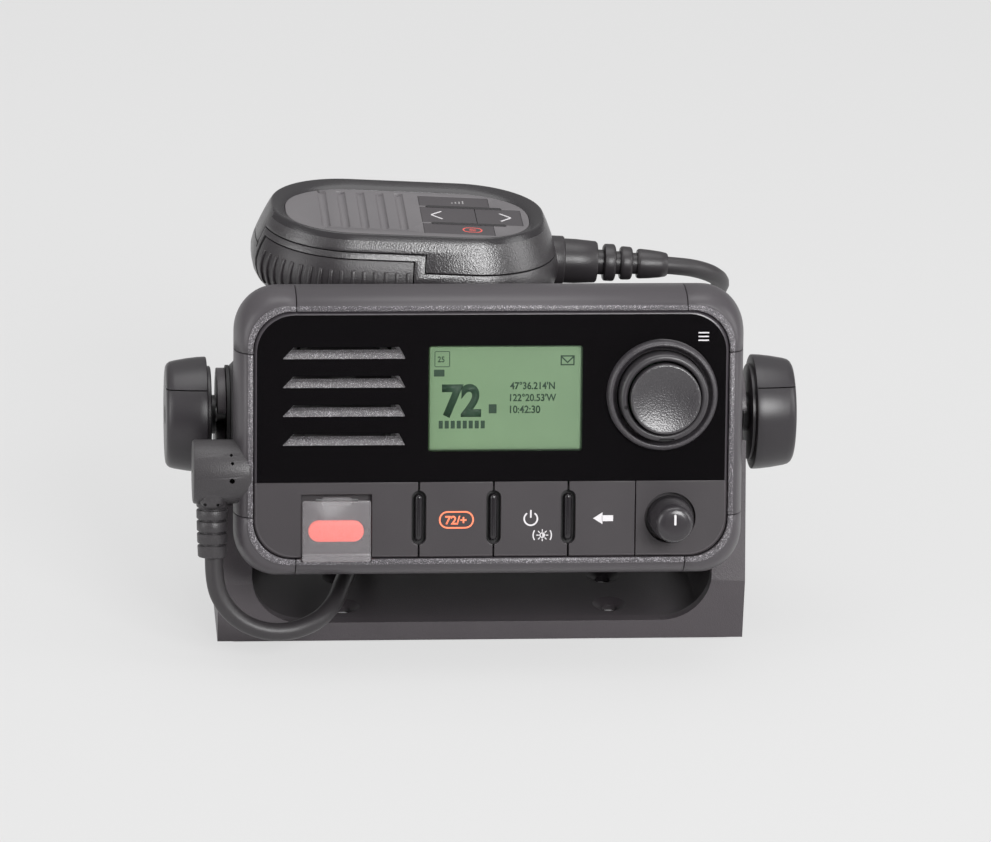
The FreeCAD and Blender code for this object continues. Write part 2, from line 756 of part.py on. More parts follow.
node("distress_button", radio_place,
     tile("distress_key", "distress_key_width", "distress_key_height",
          "distress_key_height / 2 - 0.05", deep("panel_recess + 1.2"),
          deep(panel_back + " + tray_floor + 0.4"), x=pin_mid, z="distress_key_z"))
cover_left = f"{pin_mid} - cover_width / 2"
cover_right = f"{pin_mid} + cover_width / 2"
cover_plate = block("cover_plate", cover_left, cover_right, deep("-cover_proud"),
                    deep("cover_thickness - cover_proud"), "cover_bottom",
                    "cover_hinge_z - cover_hinge_radius - 0.2")
tab_half = "hinge_pin_length / 2 - 1.6 - seam_gap"
cover_tab = block("cover_tab", f"{pin_mid} - ({tab_half})", f"{pin_mid} + {tab_half}",
                  deep("-cover_proud"), deep("cover_thickness - cover_proud"),
                  "cover_hinge_z - cover_hinge_radius - 1", "cover_hinge_z")
cover_barrel = rod("cover_barrel", "cover_hinge_radius", f"{pin_mid} - ({tab_half})",
                   f"{pin_mid} + {tab_half}", "X", y=deep(hinge_y), z="cover_hinge_z")
cover_bore = rod("cover_bore", "hinge_pin_radius + running_gap", "distress_left",
                 "distress_right", "X", y=deep(hinge_y), z="cover_hinge_z")
node("distress_cover", radio_place,
     cut("cover_cut", fuse("cover_whole", cover_plate, cover_tab, cover_barrel), cover_bore))
node("cover_pin", radio_place,
     rod("hinge_pin", "hinge_pin_radius", f"{pin_mid} - hinge_pin_length / 2",
         f"{pin_mid} + hinge_pin_length / 2", "X", y=deep(hinge_y), z="cover_hinge_z"))

# ---------------------------------------------------------------- channel selector
# A fixed collar on the panel, a ring that turns on the encoder's shaft, and a button in the ring.

collar = lathe("collar", [
    ("ring_radius + turning_gap", deep("-collar_height")), ("collar_top_radius", deep("-collar_height")),
    ("collar_radius", deep("panel_recess")), ("ring_radius + turning_gap", deep("panel_recess"))],
    x="selector_x", z="selector_z")
dial_spot = {"x": "selector_x", "z": "selector_z"}
node("selector_collar", radio_place, collar)
ring_back = f"{panel_back} - 0.4"
ring_profile = [
    ("ring_inner_radius", deep("-ring_height")), ("ring_radius - 0.8", deep("-ring_height")),
    ("ring_radius", deep("0.8 - ring_height")), ("ring_radius", deep(ring_back)),
    ("shaft_radius + running_gap", deep(ring_back)),
    ("shaft_radius + running_gap", deep(f"{ring_back} - 2.4")),
    ("ring_inner_radius", deep(f"{ring_back} - 2.4"))]
node("selector_ring", radio_place, lathe("selector_ring_turned", ring_profile, **dial_spot))
shaft_tip = "-4"
button_profile = [
    ("0", deep("-button_height")), ("button_radius - 1.2", deep("-button_height")),
    ("button_radius", deep("1.2 - button_height")), ("button_radius", deep("2.5 - ring_height")),
    ("shaft_radius + 2", deep("2.5 - ring_height")),
    ("shaft_radius + 2", deep(f"{ring_back} - 2.4 - button_travel - turning_gap")),
    ("shaft_radius + running_gap",
     deep(f"{ring_back} - 2.4 - button_travel - turning_gap")),
    ("shaft_radius + running_gap", deep(f"{shaft_tip} - button_travel - turning_gap")),
    ("0", deep(f"{shaft_tip} - button_travel - turning_gap"))]
node("selector_button", radio_place, lathe("selector_button_turned", button_profile, **dial_spot))

# ---------------------------------------------------------------- volume and squelch knob
# A tapered knob on a shaft that slides when the knob is pushed. The knob turns on the shaft.

volume_spot = {"x": "volume_x", "z": "volume_z"}
knob_base = "panel_recess + 2 - volume_travel - turning_gap"
knob_floor = "-volume_height + 3"
volume_profile = [
    ("0", deep("-volume_height")), ("volume_top_radius - 0.8", deep("-volume_height")),
    ("volume_top_radius", deep("0.8 - volume_height")), ("volume_base_radius", deep(knob_base)),
    ("shaft_radius + running_gap", deep(knob_base)),
    ("shaft_radius + running_gap", deep(knob_floor)), ("0", deep(knob_floor))]
node("volume_knob", radio_place, lathe("volume_turned", volume_profile, **volume_spot))
node("volume_shaft", radio_place,
     rod("volume_rod", "shaft_radius", deep(f"{knob_floor} + running_gap"),
         deep("board_depth - 3.5"), **volume_spot))


def encoder(name, spot, shaft_start, width):
    """A square rotary encoder on the front board, with its bush and shaft if it has one."""
    x, z = spot["x"], spot["z"]
    case = block(name + "_case", f"{x} - {width} / 2", f"{x} + {width} / 2",
                 deep("board_depth - 3"), deep("board_depth"), f"{z} - {width} / 2",
                 f"{z} + {width} / 2")
    bush = rod(name + "_bush", "shaft_radius + 1.2", deep("panel_recess + panel_thickness"),
               deep("board_depth - 2.9"), **spot)
    if shaft_start is None:
        bore = rod(name + "_bore", "shaft_radius + running_gap", deep("0"),
                   deep("board_depth - 2.4"), **spot)
        return cut(name, fuse(name + "_solid", case, bush), bore)
    return fuse(name, case, bush, rod(name + "_shaft", "shaft_radius", deep(shaft_start),
                                      deep("board_depth - 2.9"), **spot))


node("rotary_encoders", radio_place, encoder("selector_encoder", dial_spot, shaft_tip, 13),
     encoder("volume_encoder", volume_spot, None, 11))

# ---------------------------------------------------------------- speaker and sound grille

speaker_spot = {"x": "louvre_x", "z": "louvre_top - 1.5 * louvre_pitch"}
grille_back = f"{panel_back} + 0.1 + grille_thickness"
grille_plate = block("grille_plate", "louvre_x - louvre_length / 2 - 2.5",
                     "louvre_x + louvre_length / 2 + 2", deep(f"{panel_back} + 0.1"),
                     deep(grille_back), "louvre_top - 3 * louvre_pitch - 4", "louvre_top + 4")
grille_slots = []
for index in range(4):
    grille_slots.append(block(
        f"grille_slot_{index}", "louvre_x - louvre_length / 2 + 3",
        "louvre_x + louvre_length / 2 - 3", deep("0"), deep("frame_depth"),
        f"louvre_top - {index} * louvre_pitch - 0.2", f"louvre_top - {index} * louvre_pitch + 1.6"))
node("sound_grille", radio_place, cut("grille", grille_plate, *grille_slots))
basket = lathe("speaker_basket", [
    ("0", deep(f"{grille_back} + 6")), ("speaker_radius - 4", deep(f"{grille_back} + 6")),
    ("speaker_radius - 1.5", deep(f"{grille_back} + 0.2")), ("speaker_radius", deep(f"{grille_back} + 0.2")),
    ("speaker_radius", deep(f"{grille_back} + 2")), ("speaker_radius - 2.5", deep(f"{grille_back} + 8")),
    ("12", deep(f"{grille_back} + 8")), ("12", deep(f"{grille_back} + speaker_depth")),
    ("0", deep(f"{grille_back} + speaker_depth"))], **speaker_spot)
cone = lathe("speaker_cone", [
    ("0", deep(f"{grille_back} + 4.9")), ("6", deep(f"{grille_back} + 5.4")),
    ("speaker_radius - 2", deep(f"{grille_back} + 0.4")),
    ("speaker_radius - 4.2", deep(f"{grille_back} + 5.9")),
    ("0", deep(f"{grille_back} + 5.9"))], **speaker_spot)
node("speaker", radio_place, basket, cone)

# ---------------------------------------------------------------- front board

front_board = tile("front_board_tile", "cavity_width - 4", "cavity_height - 4", "4",
                   deep("board_depth"), deep("board_depth + board_thickness"))
board_cuts = [rod("speaker_clearance", "speaker_radius + 0.6", deep("0"), deep("frame_depth"),
                  **speaker_spot),
              block("socket_clearance", "-bezel_width", "-cavity_width / 2 + 6", deep("0"),
                    deep("frame_depth"), "socket_z - socket_radius - 1",
                    "socket_z + socket_radius + 1")]
node("front_board", radio_place, cut("front_board_cut", front_board, *board_cuts))

# ---------------------------------------------------------------- rear housing
# A die-cast box with a flange at the front, a round boss on each side for the clamp stud, posts for
# the main board and bosses for the screws of the heat sink.

flange_front = "frame_depth + seal_thickness"
flange_back = f"{flange_front} + flange_thickness"
flange = tile("housing_flange", "flange_width", "flange_height", "bezel_radius - 3",
              deep(flange_front), deep(flange_back))
box_front = deep(f"{flange_back} - 0.5")
box_back = deep("housing_end")
box_outer = upright_loft("box_outer", [
    ("housing_width", "housing_front_height", "housing_radius", box_front),
    ("housing_width - 2", "housing_rear_height", "housing_radius", box_back)])
box_inner = upright_loft("box_inner", [
    ("housing_width - 2 * housing_wall", "housing_front_height - 2 * housing_wall",
     "housing_radius - 2", deep(f"{flange_front} - 1")),
    ("housing_width - 2 - 2 * housing_wall", "housing_rear_height - 2 * housing_wall",
     "housing_radius - 2", deep("housing_end + 1"))])
boss_start = "housing_width / 2 - housing_wall - 6"
bosses = []
for side in (-1, 1):
    low, high = (boss_start, "boss_reach") if side > 0 else ("-boss_reach", f"-({boss_start})")
    bosses.append(rod(f"side_boss_{side + 1}", "boss_radius", low, high, "X"))
boss_trim = lathe("boss_trim", [
    ("boss_radius - 2", "boss_reach"), ("boss_radius + 1", "boss_reach - 3"),
    ("boss_radius + 1", "boss_reach")], "X")
boss_trims = [boss_trim, mirrored("boss_trim_left", boss_trim, Vector(1, 0, 0))]
boss_bores = []
for side in (-1, 1):
    low, high = ((f"({boss_start}) - 1", "boss_reach + 1") if side > 0 else
                 ("-boss_reach - 1", f"-({boss_start}) + 1"))
    boss_bores.append(rod(f"boss_bore_{side + 1}", "insert_radius", low, high, "X"))
board_posts = []
for side in (-1, 1):
    for index, post_depth in enumerate((f"{flange_back} + 18", "housing_end - 16")):
        board_posts.append(rod(
            f"board_post_{side + 1}{index}", "post_radius",
            "-housing_front_height", "main_board_z", "Z", x=f"{side} * board_post_x",
            y=deep(post_depth)))


def rear_rods(name, radius, start, end):
    """One rod at each screw of the heat sink."""
    rods = []
    for side_x in (-1, 1):
        for side_z in (-1, 1):
            rods.append(rod(f"{name}_{side_x + 1}{side_z + 1}", radius, deep(start), deep(end),
                            x=f"{side_x} * housing_screw_x", z=f"{side_z} * housing_screw_z"))
    return rods


screw_bosses = common("screw_bosses", box_outer,
                      fuse("screw_boss_rods",
                           *rear_rods("screw_boss", "4.5", "housing_end - 16", "housing_end")))
box = cut("housing_box", fuse("box_with_bosses", box_outer, flange, *bosses), box_inner)
posts_inside = common("posts_inside", box_outer, fuse("board_posts", *board_posts))
housing_whole = fuse("housing_whole", box, screw_bosses, posts_inside,
                     *[common(f"inner_boss_{index}", box_outer, boss)
                       for index, boss in enumerate(bosses)])
node("rear_housing", radio_place,
     cut("rear_housing_cut", housing_whole, *boss_trims, *boss_bores,
         *corner_rods("flange_hole", "screw_radius", flange_front + " - 1", flange_back + " + 1"),
         *rear_rods("sink_hole", "screw_radius", "housing_end - 11", "housing_end + 1")))
seal_ring = tile("seal_outer", "bezel_width - frame_draft - 4", "bezel_height - frame_draft - 4",
                 "bezel_radius - 2", deep("frame_depth"), deep(flange_front))
seal_opening = tile("seal_inner", "cavity_width", "cavity_height", "cavity_radius",
                    deep("frame_depth - 1"), deep(flange_front + " + 1"))
node("front_seal", radio_place,
     cut("front_seal_cut", seal_ring, seal_opening,
         *corner_rods("seal_hole", "screw_radius", "frame_depth - 1", flange_front + " + 1")))
inserts = []
for side in (-1, 1):
    low, high = ((boss_start, "boss_reach") if side > 0 else ("-boss_reach", f"-({boss_start})"))
    sleeve = rod(f"insert_{side + 1}", "insert_radius", low, high, "X")
    thread = rod(f"insert_bore_{side + 1}", "stud_radius + running_gap", f"{low} - 1",
                 f"{high} + 1", "X")
    inserts.append(cut(f"insert_cut_{side + 1}", sleeve, thread))
node("trunnion_inserts", radio_place, *inserts)
washers = []
for side in (-1, 1):
    low, high = (("boss_reach", "boss_reach + washer_thickness") if side > 0 else
                 ("-boss_reach - washer_thickness", "-boss_reach"))
    disc = rod(f"washer_{side + 1}", "washer_radius", low, high, "X")
    eye = rod(f"washer_eye_{side + 1}", "insert_radius", f"{low} - 1", f"{high} + 1", "X")
    washers.append(cut(f"washer_cut_{side + 1}", disc, eye))
node("friction_washers", radio_place, *washers)

# ---------------------------------------------------------------- inside the housing

main_top = "main_board_z + board_thickness"
node("main_board", radio_place,
     cut("main_board_cut",
         block("main_board_slab", "main_board_inset - housing_width / 2",
               "housing_width / 2 - main_board_inset", deep(f"{flange_back} + 8"),
               deep("housing_end - 4"), "main_board_z", main_top),
         *[rod(f"main_board_notch_{index}", "boss_radius + 1", low, high, "X")
           for index, (low, high) in enumerate((
               (f"-({boss_start}) - 8", f"6 - ({boss_start})"),
               (f"{boss_start} - 6", f"{boss_start} + 8")))]))
can = block("can_outer", "4", "board_post_x", deep("housing_end - 50"),
            deep("housing_end - 14"), main_top, f"{main_top} + shield_height")
can_void = block("can_void", "4.6", "board_post_x - 0.6", deep("housing_end - 49.4"),
                 deep("housing_end - 14.6"),
                 f"{main_top} - 1", f"{main_top} + shield_height - 0.6")
node("rf_shield", radio_place, cut("can", can, can_void))

# ---------------------------------------------------------------- heat sink and rear sockets

sink_back = "housing_end + sink_thickness"
sink_plate = tile("sink_plate", "housing_width - 2", "housing_rear_height", "housing_radius",
                  deep("housing_end"), deep(sink_back))
fins = []
for index in range(int(number("fin_count"))):
    left = f"fin_inset - housing_width / 2 + {index} * fin_pitch"
    fins.append(block(f"fin_{index}", left, f"{left} + fin_thickness", deep(f"{sink_back} - 0.5"),
                      deep(f"{sink_back} + fin_height"), "-housing_rear_height / 2 + 3",
                      "housing_rear_height / 2 - 3"))
antenna_spot = {"x": "antenna_x", "z": "antenna_z"}
node("heat_sink", radio_place,
     cut("heat_sink_cut", fuse("sink_whole", sink_plate, *fins),
         rod("antenna_hole", "antenna_radius", deep("housing_end - 1"), deep(sink_back + " + 1"),
             **antenna_spot),
         *rear_rods("sink_screw_hole", "screw_radius", "housing_end - 1", sink_back + " + 1")))
housing_screws = []
for index, (head, shank) in enumerate(zip(
        rear_rods("sink_head", "screw_head_radius", sink_back, sink_back + " + screw_head_height"),
        rear_rods("sink_shank", "screw_radius", "housing_end - 10", sink_back + " + 0.5"))):
    housing_screws.append(fuse(f"housing_screw_{index}", head, shank))
node("housing_screws", radio_place, *housing_screws)
barrel = rod("antenna_barrel", "antenna_radius", deep("housing_end - 4"),
             deep(f"{sink_back} + antenna_length"), **antenna_spot)
nut = document.addObject("Part::Prism", "antenna_nut")
nut.Polygon = 6
bind(nut, "Circumradius", "antenna_radius + 3")
bind(nut, "Height", "3")
nut.Placement.Rotation = TURNS["Y"]
move(nut, "antenna_x", deep(sink_back), "antenna_z")
antenna_bore = rod("antenna_bore_rod", "antenna_bore", deep(f"{sink_back} + antenna_length - 10"),
                   deep(f"{sink_back} + antenna_length + 1"), **antenna_spot)
node("antenna_socket", radio_place,
     cut("antenna_cut", fuse("antenna_whole", barrel, nut), antenna_bore))
insulator = rod("antenna_insulator", "antenna_bore", deep(f"{sink_back} + antenna_length - 10"),
                deep(f"{sink_back} + antenna_length - 1.5"), **antenna_spot)
contact_bore = rod("contact_bore", "1.9", deep(f"{sink_back} + antenna_length - 9"),
                   deep(f"{sink_back} + antenna_length + 1"), **antenna_spot)
node("antenna_contact", radio_place, cut("antenna_contact_cut", insulator, contact_bore))
power_case = block("power_case", "antenna_x - power_width / 2", "antenna_x + power_width / 2",
                   deep(sink_back), deep(f"{sink_back} + power_length"),
                   "power_z - power_height / 2", "power_z + power_height / 2")
power_void = block("power_void", "antenna_x - power_width / 2 + 1.5",
                   "antenna_x + power_width / 2 - 1.5", deep(f"{sink_back} + 2"),
                   deep(f"{sink_back} + power_length + 1"), "power_z - power_height / 2 + 1.5",
                   "power_z + power_height / 2 - 1.5")
power_pins = []
for index in range(4):
    power_pins.append(rod(f"power_pin_{index}", "0.8", deep(f"{sink_back} + 1.5"),
                          deep(f"{sink_back} + 5.5"), x=f"antenna_x + {index - 1.5} * 4.2",
                          z="power_z"))
node("power_inlet", radio_place,
     fuse("power_whole", cut("power_shell", power_case, power_void), *power_pins))

# ---------------------------------------------------------------- microphone socket and plug
# The socket is set in the left side of the front frame. The plug's body lies across its end and
# follows the swell of the frame; its cord leaves straight down.

plug_spot = {"y": deep("socket_depth"), "z": "socket_z"}
socket_end = "-bezel_width / 2 + 2.5"
node("mic_socket", radio_place,
     cut("mic_socket_cut",
         rod("socket_tube", "socket_radius", socket_end, "-cavity_width / 2 + 4.5", "X",
             **plug_spot),
         rod("socket_bore_rod", "socket_bore", "-bezel_width", "-cavity_width / 2 + 1.5", "X",
             **plug_spot)))
plug_body = rod("plug_barrel", "plug_radius", "-plug_reach", "-plug_lip_x", "X", **plug_spot)
relief_spot = {"x": "relief_x", "y": deep("socket_depth")}
plug_neck = rod("plug_neck", "relief_radius + 0.8", "socket_z - plug_radius - 1.2", "socket_z", "Z",
                **relief_spot)
plug_clear = upright_loft("plug_clearance", [
    ("lip_width + 1", "lip_height", "lip_radius", deep("-0.2")),
    ("lip_width + 1 + 0.55 * (bezel_width - lip_width)",
     "lip_height + 0.55 * (bezel_height - lip_height)", "lip_radius", deep("crest_depth / 4 - 0.2")),
    ("bezel_width + 0.8", "bezel_height", "bezel_radius", deep("crest_depth")),
    ("bezel_width + 0.8", "bezel_height", "bezel_radius", deep("frame_depth + 4"))])
plug_nose = rod("plug_nose", "socket_bore - running_gap", "-bezel_width / 2 - 1",
                "-cavity_width / 2 + 0.5", "X", **plug_spot)
node("mic_plug", radio_place,
     fuse("mic_plug_whole", cut("plug_trimmed", fuse("plug_block", plug_body, plug_neck),
                                plug_clear), plug_nose))
neck_end = "socket_z - plug_radius - 1.2"
relief_profile = [("0", neck_end), ("relief_radius", neck_end)]
ring_count = 4
for index in range(ring_count):
    top = f"{neck_end} + {index} / {ring_count} * (relief_bottom - ({neck_end}))"
    bottom = f"{neck_end} + {index + 0.68} / {ring_count} * (relief_bottom - ({neck_end}))"
    after = f"{neck_end} + {index + 1} / {ring_count} * (relief_bottom - ({neck_end}))"
    wide = f"relief_radius + {index} / {ring_count} * (relief_end_radius - relief_radius)"
    if index:
        relief_profile.append((wide, top))
    relief_profile.append((wide, bottom))
    if index < ring_count - 1:
        relief_profile.append((f"{wide} - 1.2", bottom))
        relief_profile.append((f"{wide} - 1.2", after))
    else:
        relief_profile.append(("cord_diameter / 2 + 0.6", "relief_bottom"))
relief_profile.append(("0", "relief_bottom"))
node("plug_strain_relief", radio_place, lathe("plug_relief_turned", relief_profile, "Z",
                                              **relief_spot))

# ---------------------------------------------------------------- side clamp knobs
# A round grip moulded on a steel stud. The stud passes through the bracket's slot into the radio.

hub_start = "bracket_width / 2 + clamp_gap"
clamp_start = f"{hub_start} + hub_height + clamp_flange_height"
clamp_end = f"{clamp_start} + clamp_length"
clamp_profile = [
    ("stud_radius", hub_start), ("hub_radius", hub_start), ("hub_radius", f"{hub_start} + hub_height"),
    ("clamp_flange_radius", f"{hub_start} + hub_height"), ("clamp_flange_radius", clamp_start),
    ("clamp_radius", clamp_start), ("clamp_radius", f"{clamp_start} + 2.5"),
    ("clamp_end_radius", f"{clamp_end} - 1"), ("clamp_end_radius - 1", clamp_end),
    ("0", clamp_end), ("0", f"{clamp_end} - 4"), ("stud_radius", f"{clamp_end} - 4")]
clamp_right = lathe("clamp_right_turned", clamp_profile, "X")
node("clamp_knob_right", radio_place, clamp_right)
node("clamp_knob_left", radio_place, mirrored("clamp_left_turned", clamp_right, Vector(1, 0, 0)))
stud_start = f"{boss_start} + 3"
stud_right = rod("stud_right_rod", "stud_radius", stud_start, f"{clamp_end} - 4", "X")
node("clamp_stud_right", radio_place, stud_right)
node("clamp_stud_left", radio_place, mirrored("stud_left_rod", stud_right, Vector(1, 0, 0)))

# ---------------------------------------------------------------- microphone shells
# Two shells meet at the widest line of the body. The face is sunk in the front shell, and one long
# side is open for the press-to-talk bar.


def mic_skin(name, inset):
    """The microphone's outer form, drawn in by an inset."""
    grow = f"- 2 * ({inset})"
    turn = f"- ({inset})"
    shoulder_length = "mic_rim_length + 0.62 * (mic_length - mic_rim_length)"
    shoulder_width = "mic_rim_width + 0.62 * (mic_width - mic_rim_width)"
    return flat_loft(name, [
        (f"mic_rim_length {grow}", f"mic_rim_width {grow}", f"mic_rim_radius {turn}", "0"),
        (f"{shoulder_length} {grow}", f"{shoulder_width} {grow}", f"mic_radius - 2 {turn}",
         "-mic_split / 2"),
        (f"mic_length {grow}", f"mic_width {grow}", f"mic_radius {turn}", "-mic_split"),
        (f"mic_length - 4 {grow}", f"mic_width - 5 {grow}", f"mic_radius - 3 {turn}",
         "-mic_split - 0.6 * (mic_thickness - mic_split)"),
        (f"mic_back_length {grow}", f"mic_back_width {grow}", f"mic_back_radius {turn}",
         "-mic_thickness")])


skin = mic_skin("mic_skin", "0")
hollow_top = "-face_recess - face_thickness - mic_wall"
hollow = common("mic_hollow", mic_skin("mic_inner", "mic_wall"),
                block("mic_hollow_span", "-mic_length", "mic_length", "-mic_width", "mic_width",
                      "mic_wall - mic_thickness", hollow_top))
shell = cut("mic_shell", skin, hollow)
face_pocket_body = flat_loft("face_pocket", [
    ("face_length", "face_width", "face_radius", "-face_recess - face_thickness"),
    ("face_length", "face_width", "face_radius", "1")])
talk_gap = 0.3
talk_opening = block("talk_opening", "-mic_length", f"talk_end + {talk_gap}", "-mic_width",
                     f"talk_v + talk_travel + {talk_gap}", f"talk_bottom - {talk_gap}",
                     f"talk_top + {talk_gap}")
relief_start = "mic_length / 2 - 4"
cord_exit = {"z": "cord_axis"}
relief_seat = rod("mic_relief_seat", "mic_relief_radius + 0.9", relief_start, "mic_length", "X",
                  **cord_exit)
front_half = block("mic_front_half", "-mic_length", "mic_length", "-mic_width", "mic_width",
                   "-mic_split", "5")
rear_half = block("mic_rear_half", "-mic_length", "mic_length", "-mic_width", "mic_width",
                  "-mic_thickness - 5", "-mic_split")
node("mic_front_shell", mic_place,
     cut("mic_front_cut", common("mic_front_blank", shell, front_half), face_pocket_body,
         talk_opening, relief_seat))
mic_posts = []
mic_screws = []
post_holes = []
board_holes = []
for side_x in (-1, 1):
    for side_y in (-1, 1):
        tag = f"{side_x + 1}{side_y + 1}"
        spot = {"x": f"{side_x} * 30", "y": f"{side_y} * 14"}
        mic_posts.append(rod(f"mic_post_{tag}", "2.6", "1 - mic_thickness", "-13.6", "Z", **spot))
        post_holes.append(rod(f"mic_post_hole_{tag}", "1.2", "-mic_thickness - 1", "-13", "Z",
                              **spot))
        post_holes.append(rod(f"mic_head_hole_{tag}", "2.4", "-mic_thickness - 1",
                              "1.5 - mic_thickness", "Z", **spot))
        board_holes.append(rod(f"mic_board_hole_{tag}", "1.2", "-15", "-10", "Z", **spot))
        mic_screws.append(fuse(
            f"mic_screw_{tag}",
            rod(f"mic_screw_head_{tag}", "2.3", "0.1 - mic_thickness", "1.5 - mic_thickness", "Z",
                **spot),
            rod(f"mic_screw_shank_{tag}", "1.2", "1.4 - mic_thickness", "-12", "Z", **spot)))
hanger_spot = {"x": "-5"}
hanger_screw_hole = rod("hanger_hole", "2", "-mic_thickness - 1", "-mic_thickness + 3", "Z",
                        **hanger_spot)
rear_blank = fuse("mic_rear_blank", common("mic_rear_shell_part", shell, rear_half), *mic_posts)
node("mic_rear_shell", mic_place,
     cut("mic_rear_cut", rear_blank, talk_opening, relief_seat, hanger_screw_hole, *post_holes))
node("mic_screws", mic_place, *mic_screws)
node("mic_hanger_stud", mic_place,
     fuse("hanger",
          rod("hanger_neck_rod", "hanger_neck_radius", "-mic_thickness - hanger_neck",
              "-mic_thickness", "Z", **hanger_spot),
          rod("hanger_head_rod", "hanger_radius", "-mic_thickness - hanger_neck - hanger_head",
              "-mic_thickness - hanger_neck", "Z", **hanger_spot),
          rod("hanger_screw", "2", "-mic_thickness - 1", "-mic_thickness + 3", "Z",
              **hanger_spot)))

# ---------------------------------------------------------------- microphone face and keys

face_top = "-face_recess"
face_bottom = "-face_recess - face_thickness"
face_plate = flat_loft("face_plate", [
    (f"face_length - 0.3", "face_width - 0.3", "face_radius - 0.15", face_bottom),
    (f"face_length - 0.3", "face_width - 0.3", "face_radius - 0.15", face_top)])
sound_grooves = []
for index in range(5):
    groove_x = f"-27.2 + {index} * 6.35"
    sound_grooves.append(block(f"sound_groove_{index}", f"{groove_x} - 0.9", f"{groove_x} + 0.9",
                               "-face_width / 2 + 7", "face_width / 2 - 2",
                               f"{face_top} - 1", "1"))
    sound_grooves.append(rod(f"sound_hole_{index}", "0.9", f"{face_bottom} - 1", "1", "Z",
                             x=groove_x, y="-face_width / 2 + 7"))
row_out = "mic_row_half + mic_row_gap"
mic_keys = {
    "mic_key_down": ("mic_key_left", "22.4", "-mic_row_half", "mic_row_half"),
    "mic_key_up": ("22.6", "37.4", "-mic_row_half", "mic_row_half"),
    "mic_key_channel": ("mic_key_left", "27.5", "-18", f"-({row_out})"),
    "mic_key_power_level": ("mic_key_left", "27.5", row_out, "18"),
}
key_wells = []
for name, (left, right, near, far) in mic_keys.items():
    key_wells.append(block(name + "_well", f"{left} - key_gap", f"{right} + key_gap",
                           f"{near} - key_gap", f"{far} + key_gap", f"{face_bottom} - 1", "1"))
    node(name, mic_place,
         block(name + "_cap", left, right, near, far, f"{face_top} - mic_key_thickness", face_top))
node("mic_face_panel", mic_place, cut("mic_face_cut", face_plate, *sound_grooves, *key_wells))

# ---------------------------------------------------------------- inside the microphone

node("mic_board", mic_place,
     cut("mic_board_cut",
         block("mic_board_slab", "-38", "36", "-18", "18", "-13.6", "-12"), *board_holes))
node("mic_capsule", mic_place, rod("capsule", "4.8", "-12", "-7.4", "Z", x="-14"))

# ---------------------------------------------------------------- press-to-talk bar

talk_band = cut("talk_band", skin, mic_skin("talk_inner", "talk_thickness"))
node("talk_bar", mic_place,
     common("talk_bar_common", talk_band,
            block("talk_span", "-mic_length", "talk_end", "-mic_width", "talk_v", "talk_bottom",
                  "talk_top")))

# ---------------------------------------------------------------- microphone strain relief

relief_end = "mic_length / 2 + mic_relief_length"
mic_relief_profile = [
    ("0", relief_start), ("mic_relief_radius + 0.8", relief_start),
    ("mic_relief_radius + 0.8", "mic_length / 2 + 2"), ("mic_relief_radius", "mic_length / 2 + 2"),
    ("mic_relief_radius - 0.5", "mic_length / 2 + 13")]
for index in range(3):
    start = f"mic_length / 2 + {15 + 5.6 * index}"
    end = f"mic_length / 2 + {19 + 5.6 * index}" if index < 2 else relief_end
    wide = f"mic_relief_radius - {1.2 + 0.6 * index}"
    narrow = f"mic_relief_radius - {3.2 + 0.3 * index}"
    before = mic_relief_profile[-1][1]
    mic_relief_profile.append((narrow, before))
    mic_relief_profile.append((narrow, start))
    mic_relief_profile.append((wide, start))
    mic_relief_profile.append((wide if index < 2 else "cord_diameter / 2 + 0.9", end))
mic_relief_profile.append(("0", relief_end))
node("mic_strain_relief", mic_place, lathe("mic_relief_turned", mic_relief_profile, "X",
                                           **cord_exit))

# ---------------------------------------------------------------- microphone cord
# A plain round cord. Its spare length lies behind the radio in a flat coil. The points were chosen
# by hand: out of the microphone, round the radio's right side and down; and from the coil forward
# over the bracket's floor, round under the plug and up into it.

COIL_X, COIL_Y, COIL_RADIUS = 5.5, 132.0, 32.0
MIC_SIDE = [
    (70.8, 44.1, 99.5), (76.9, 46.6, 97.2), (81.6, 50.6, 93.8), (84.5, 56.0, 89.5),
    (84.8, 61.8, 85.0), (82.3, 69.5, 77.5), (79.0, 77.0, 66.0), (73.0, 85.0, 52.0),
    (65.5, 93.0, 38.5), (57.5, 102.5, 26.5), (51.5, 114.5, 16.5), (46.4, 129.9, 9.8),
]
PLUG_SIDE = [
    (-32.2, 104.0, 3.1), (-32.0, 76.0, 3.1), (-32.2, 57.0, 3.6), (-32.4, 44.0, 6.4),
    (-33.0, 31.0, 10.7), (-35.6, 13.5, 13.8), (-40.2, -4.5, 15.8), (-44.5, -20.8, 16.2),
    (-47.0, -31.6, 15.6), (-49.3, -37.4, 15.0), (-52.7, -42.2, 13.6), (-57.4, -45.9, 12.5),
    (-63.5, -48.5, 11.8), (-70.8, -49.5, 12.4), (-78.2, -49.5, 15.5), (-84.0, -48.6, 21.1),
    (-87.2, -47.1, 28.6),
]


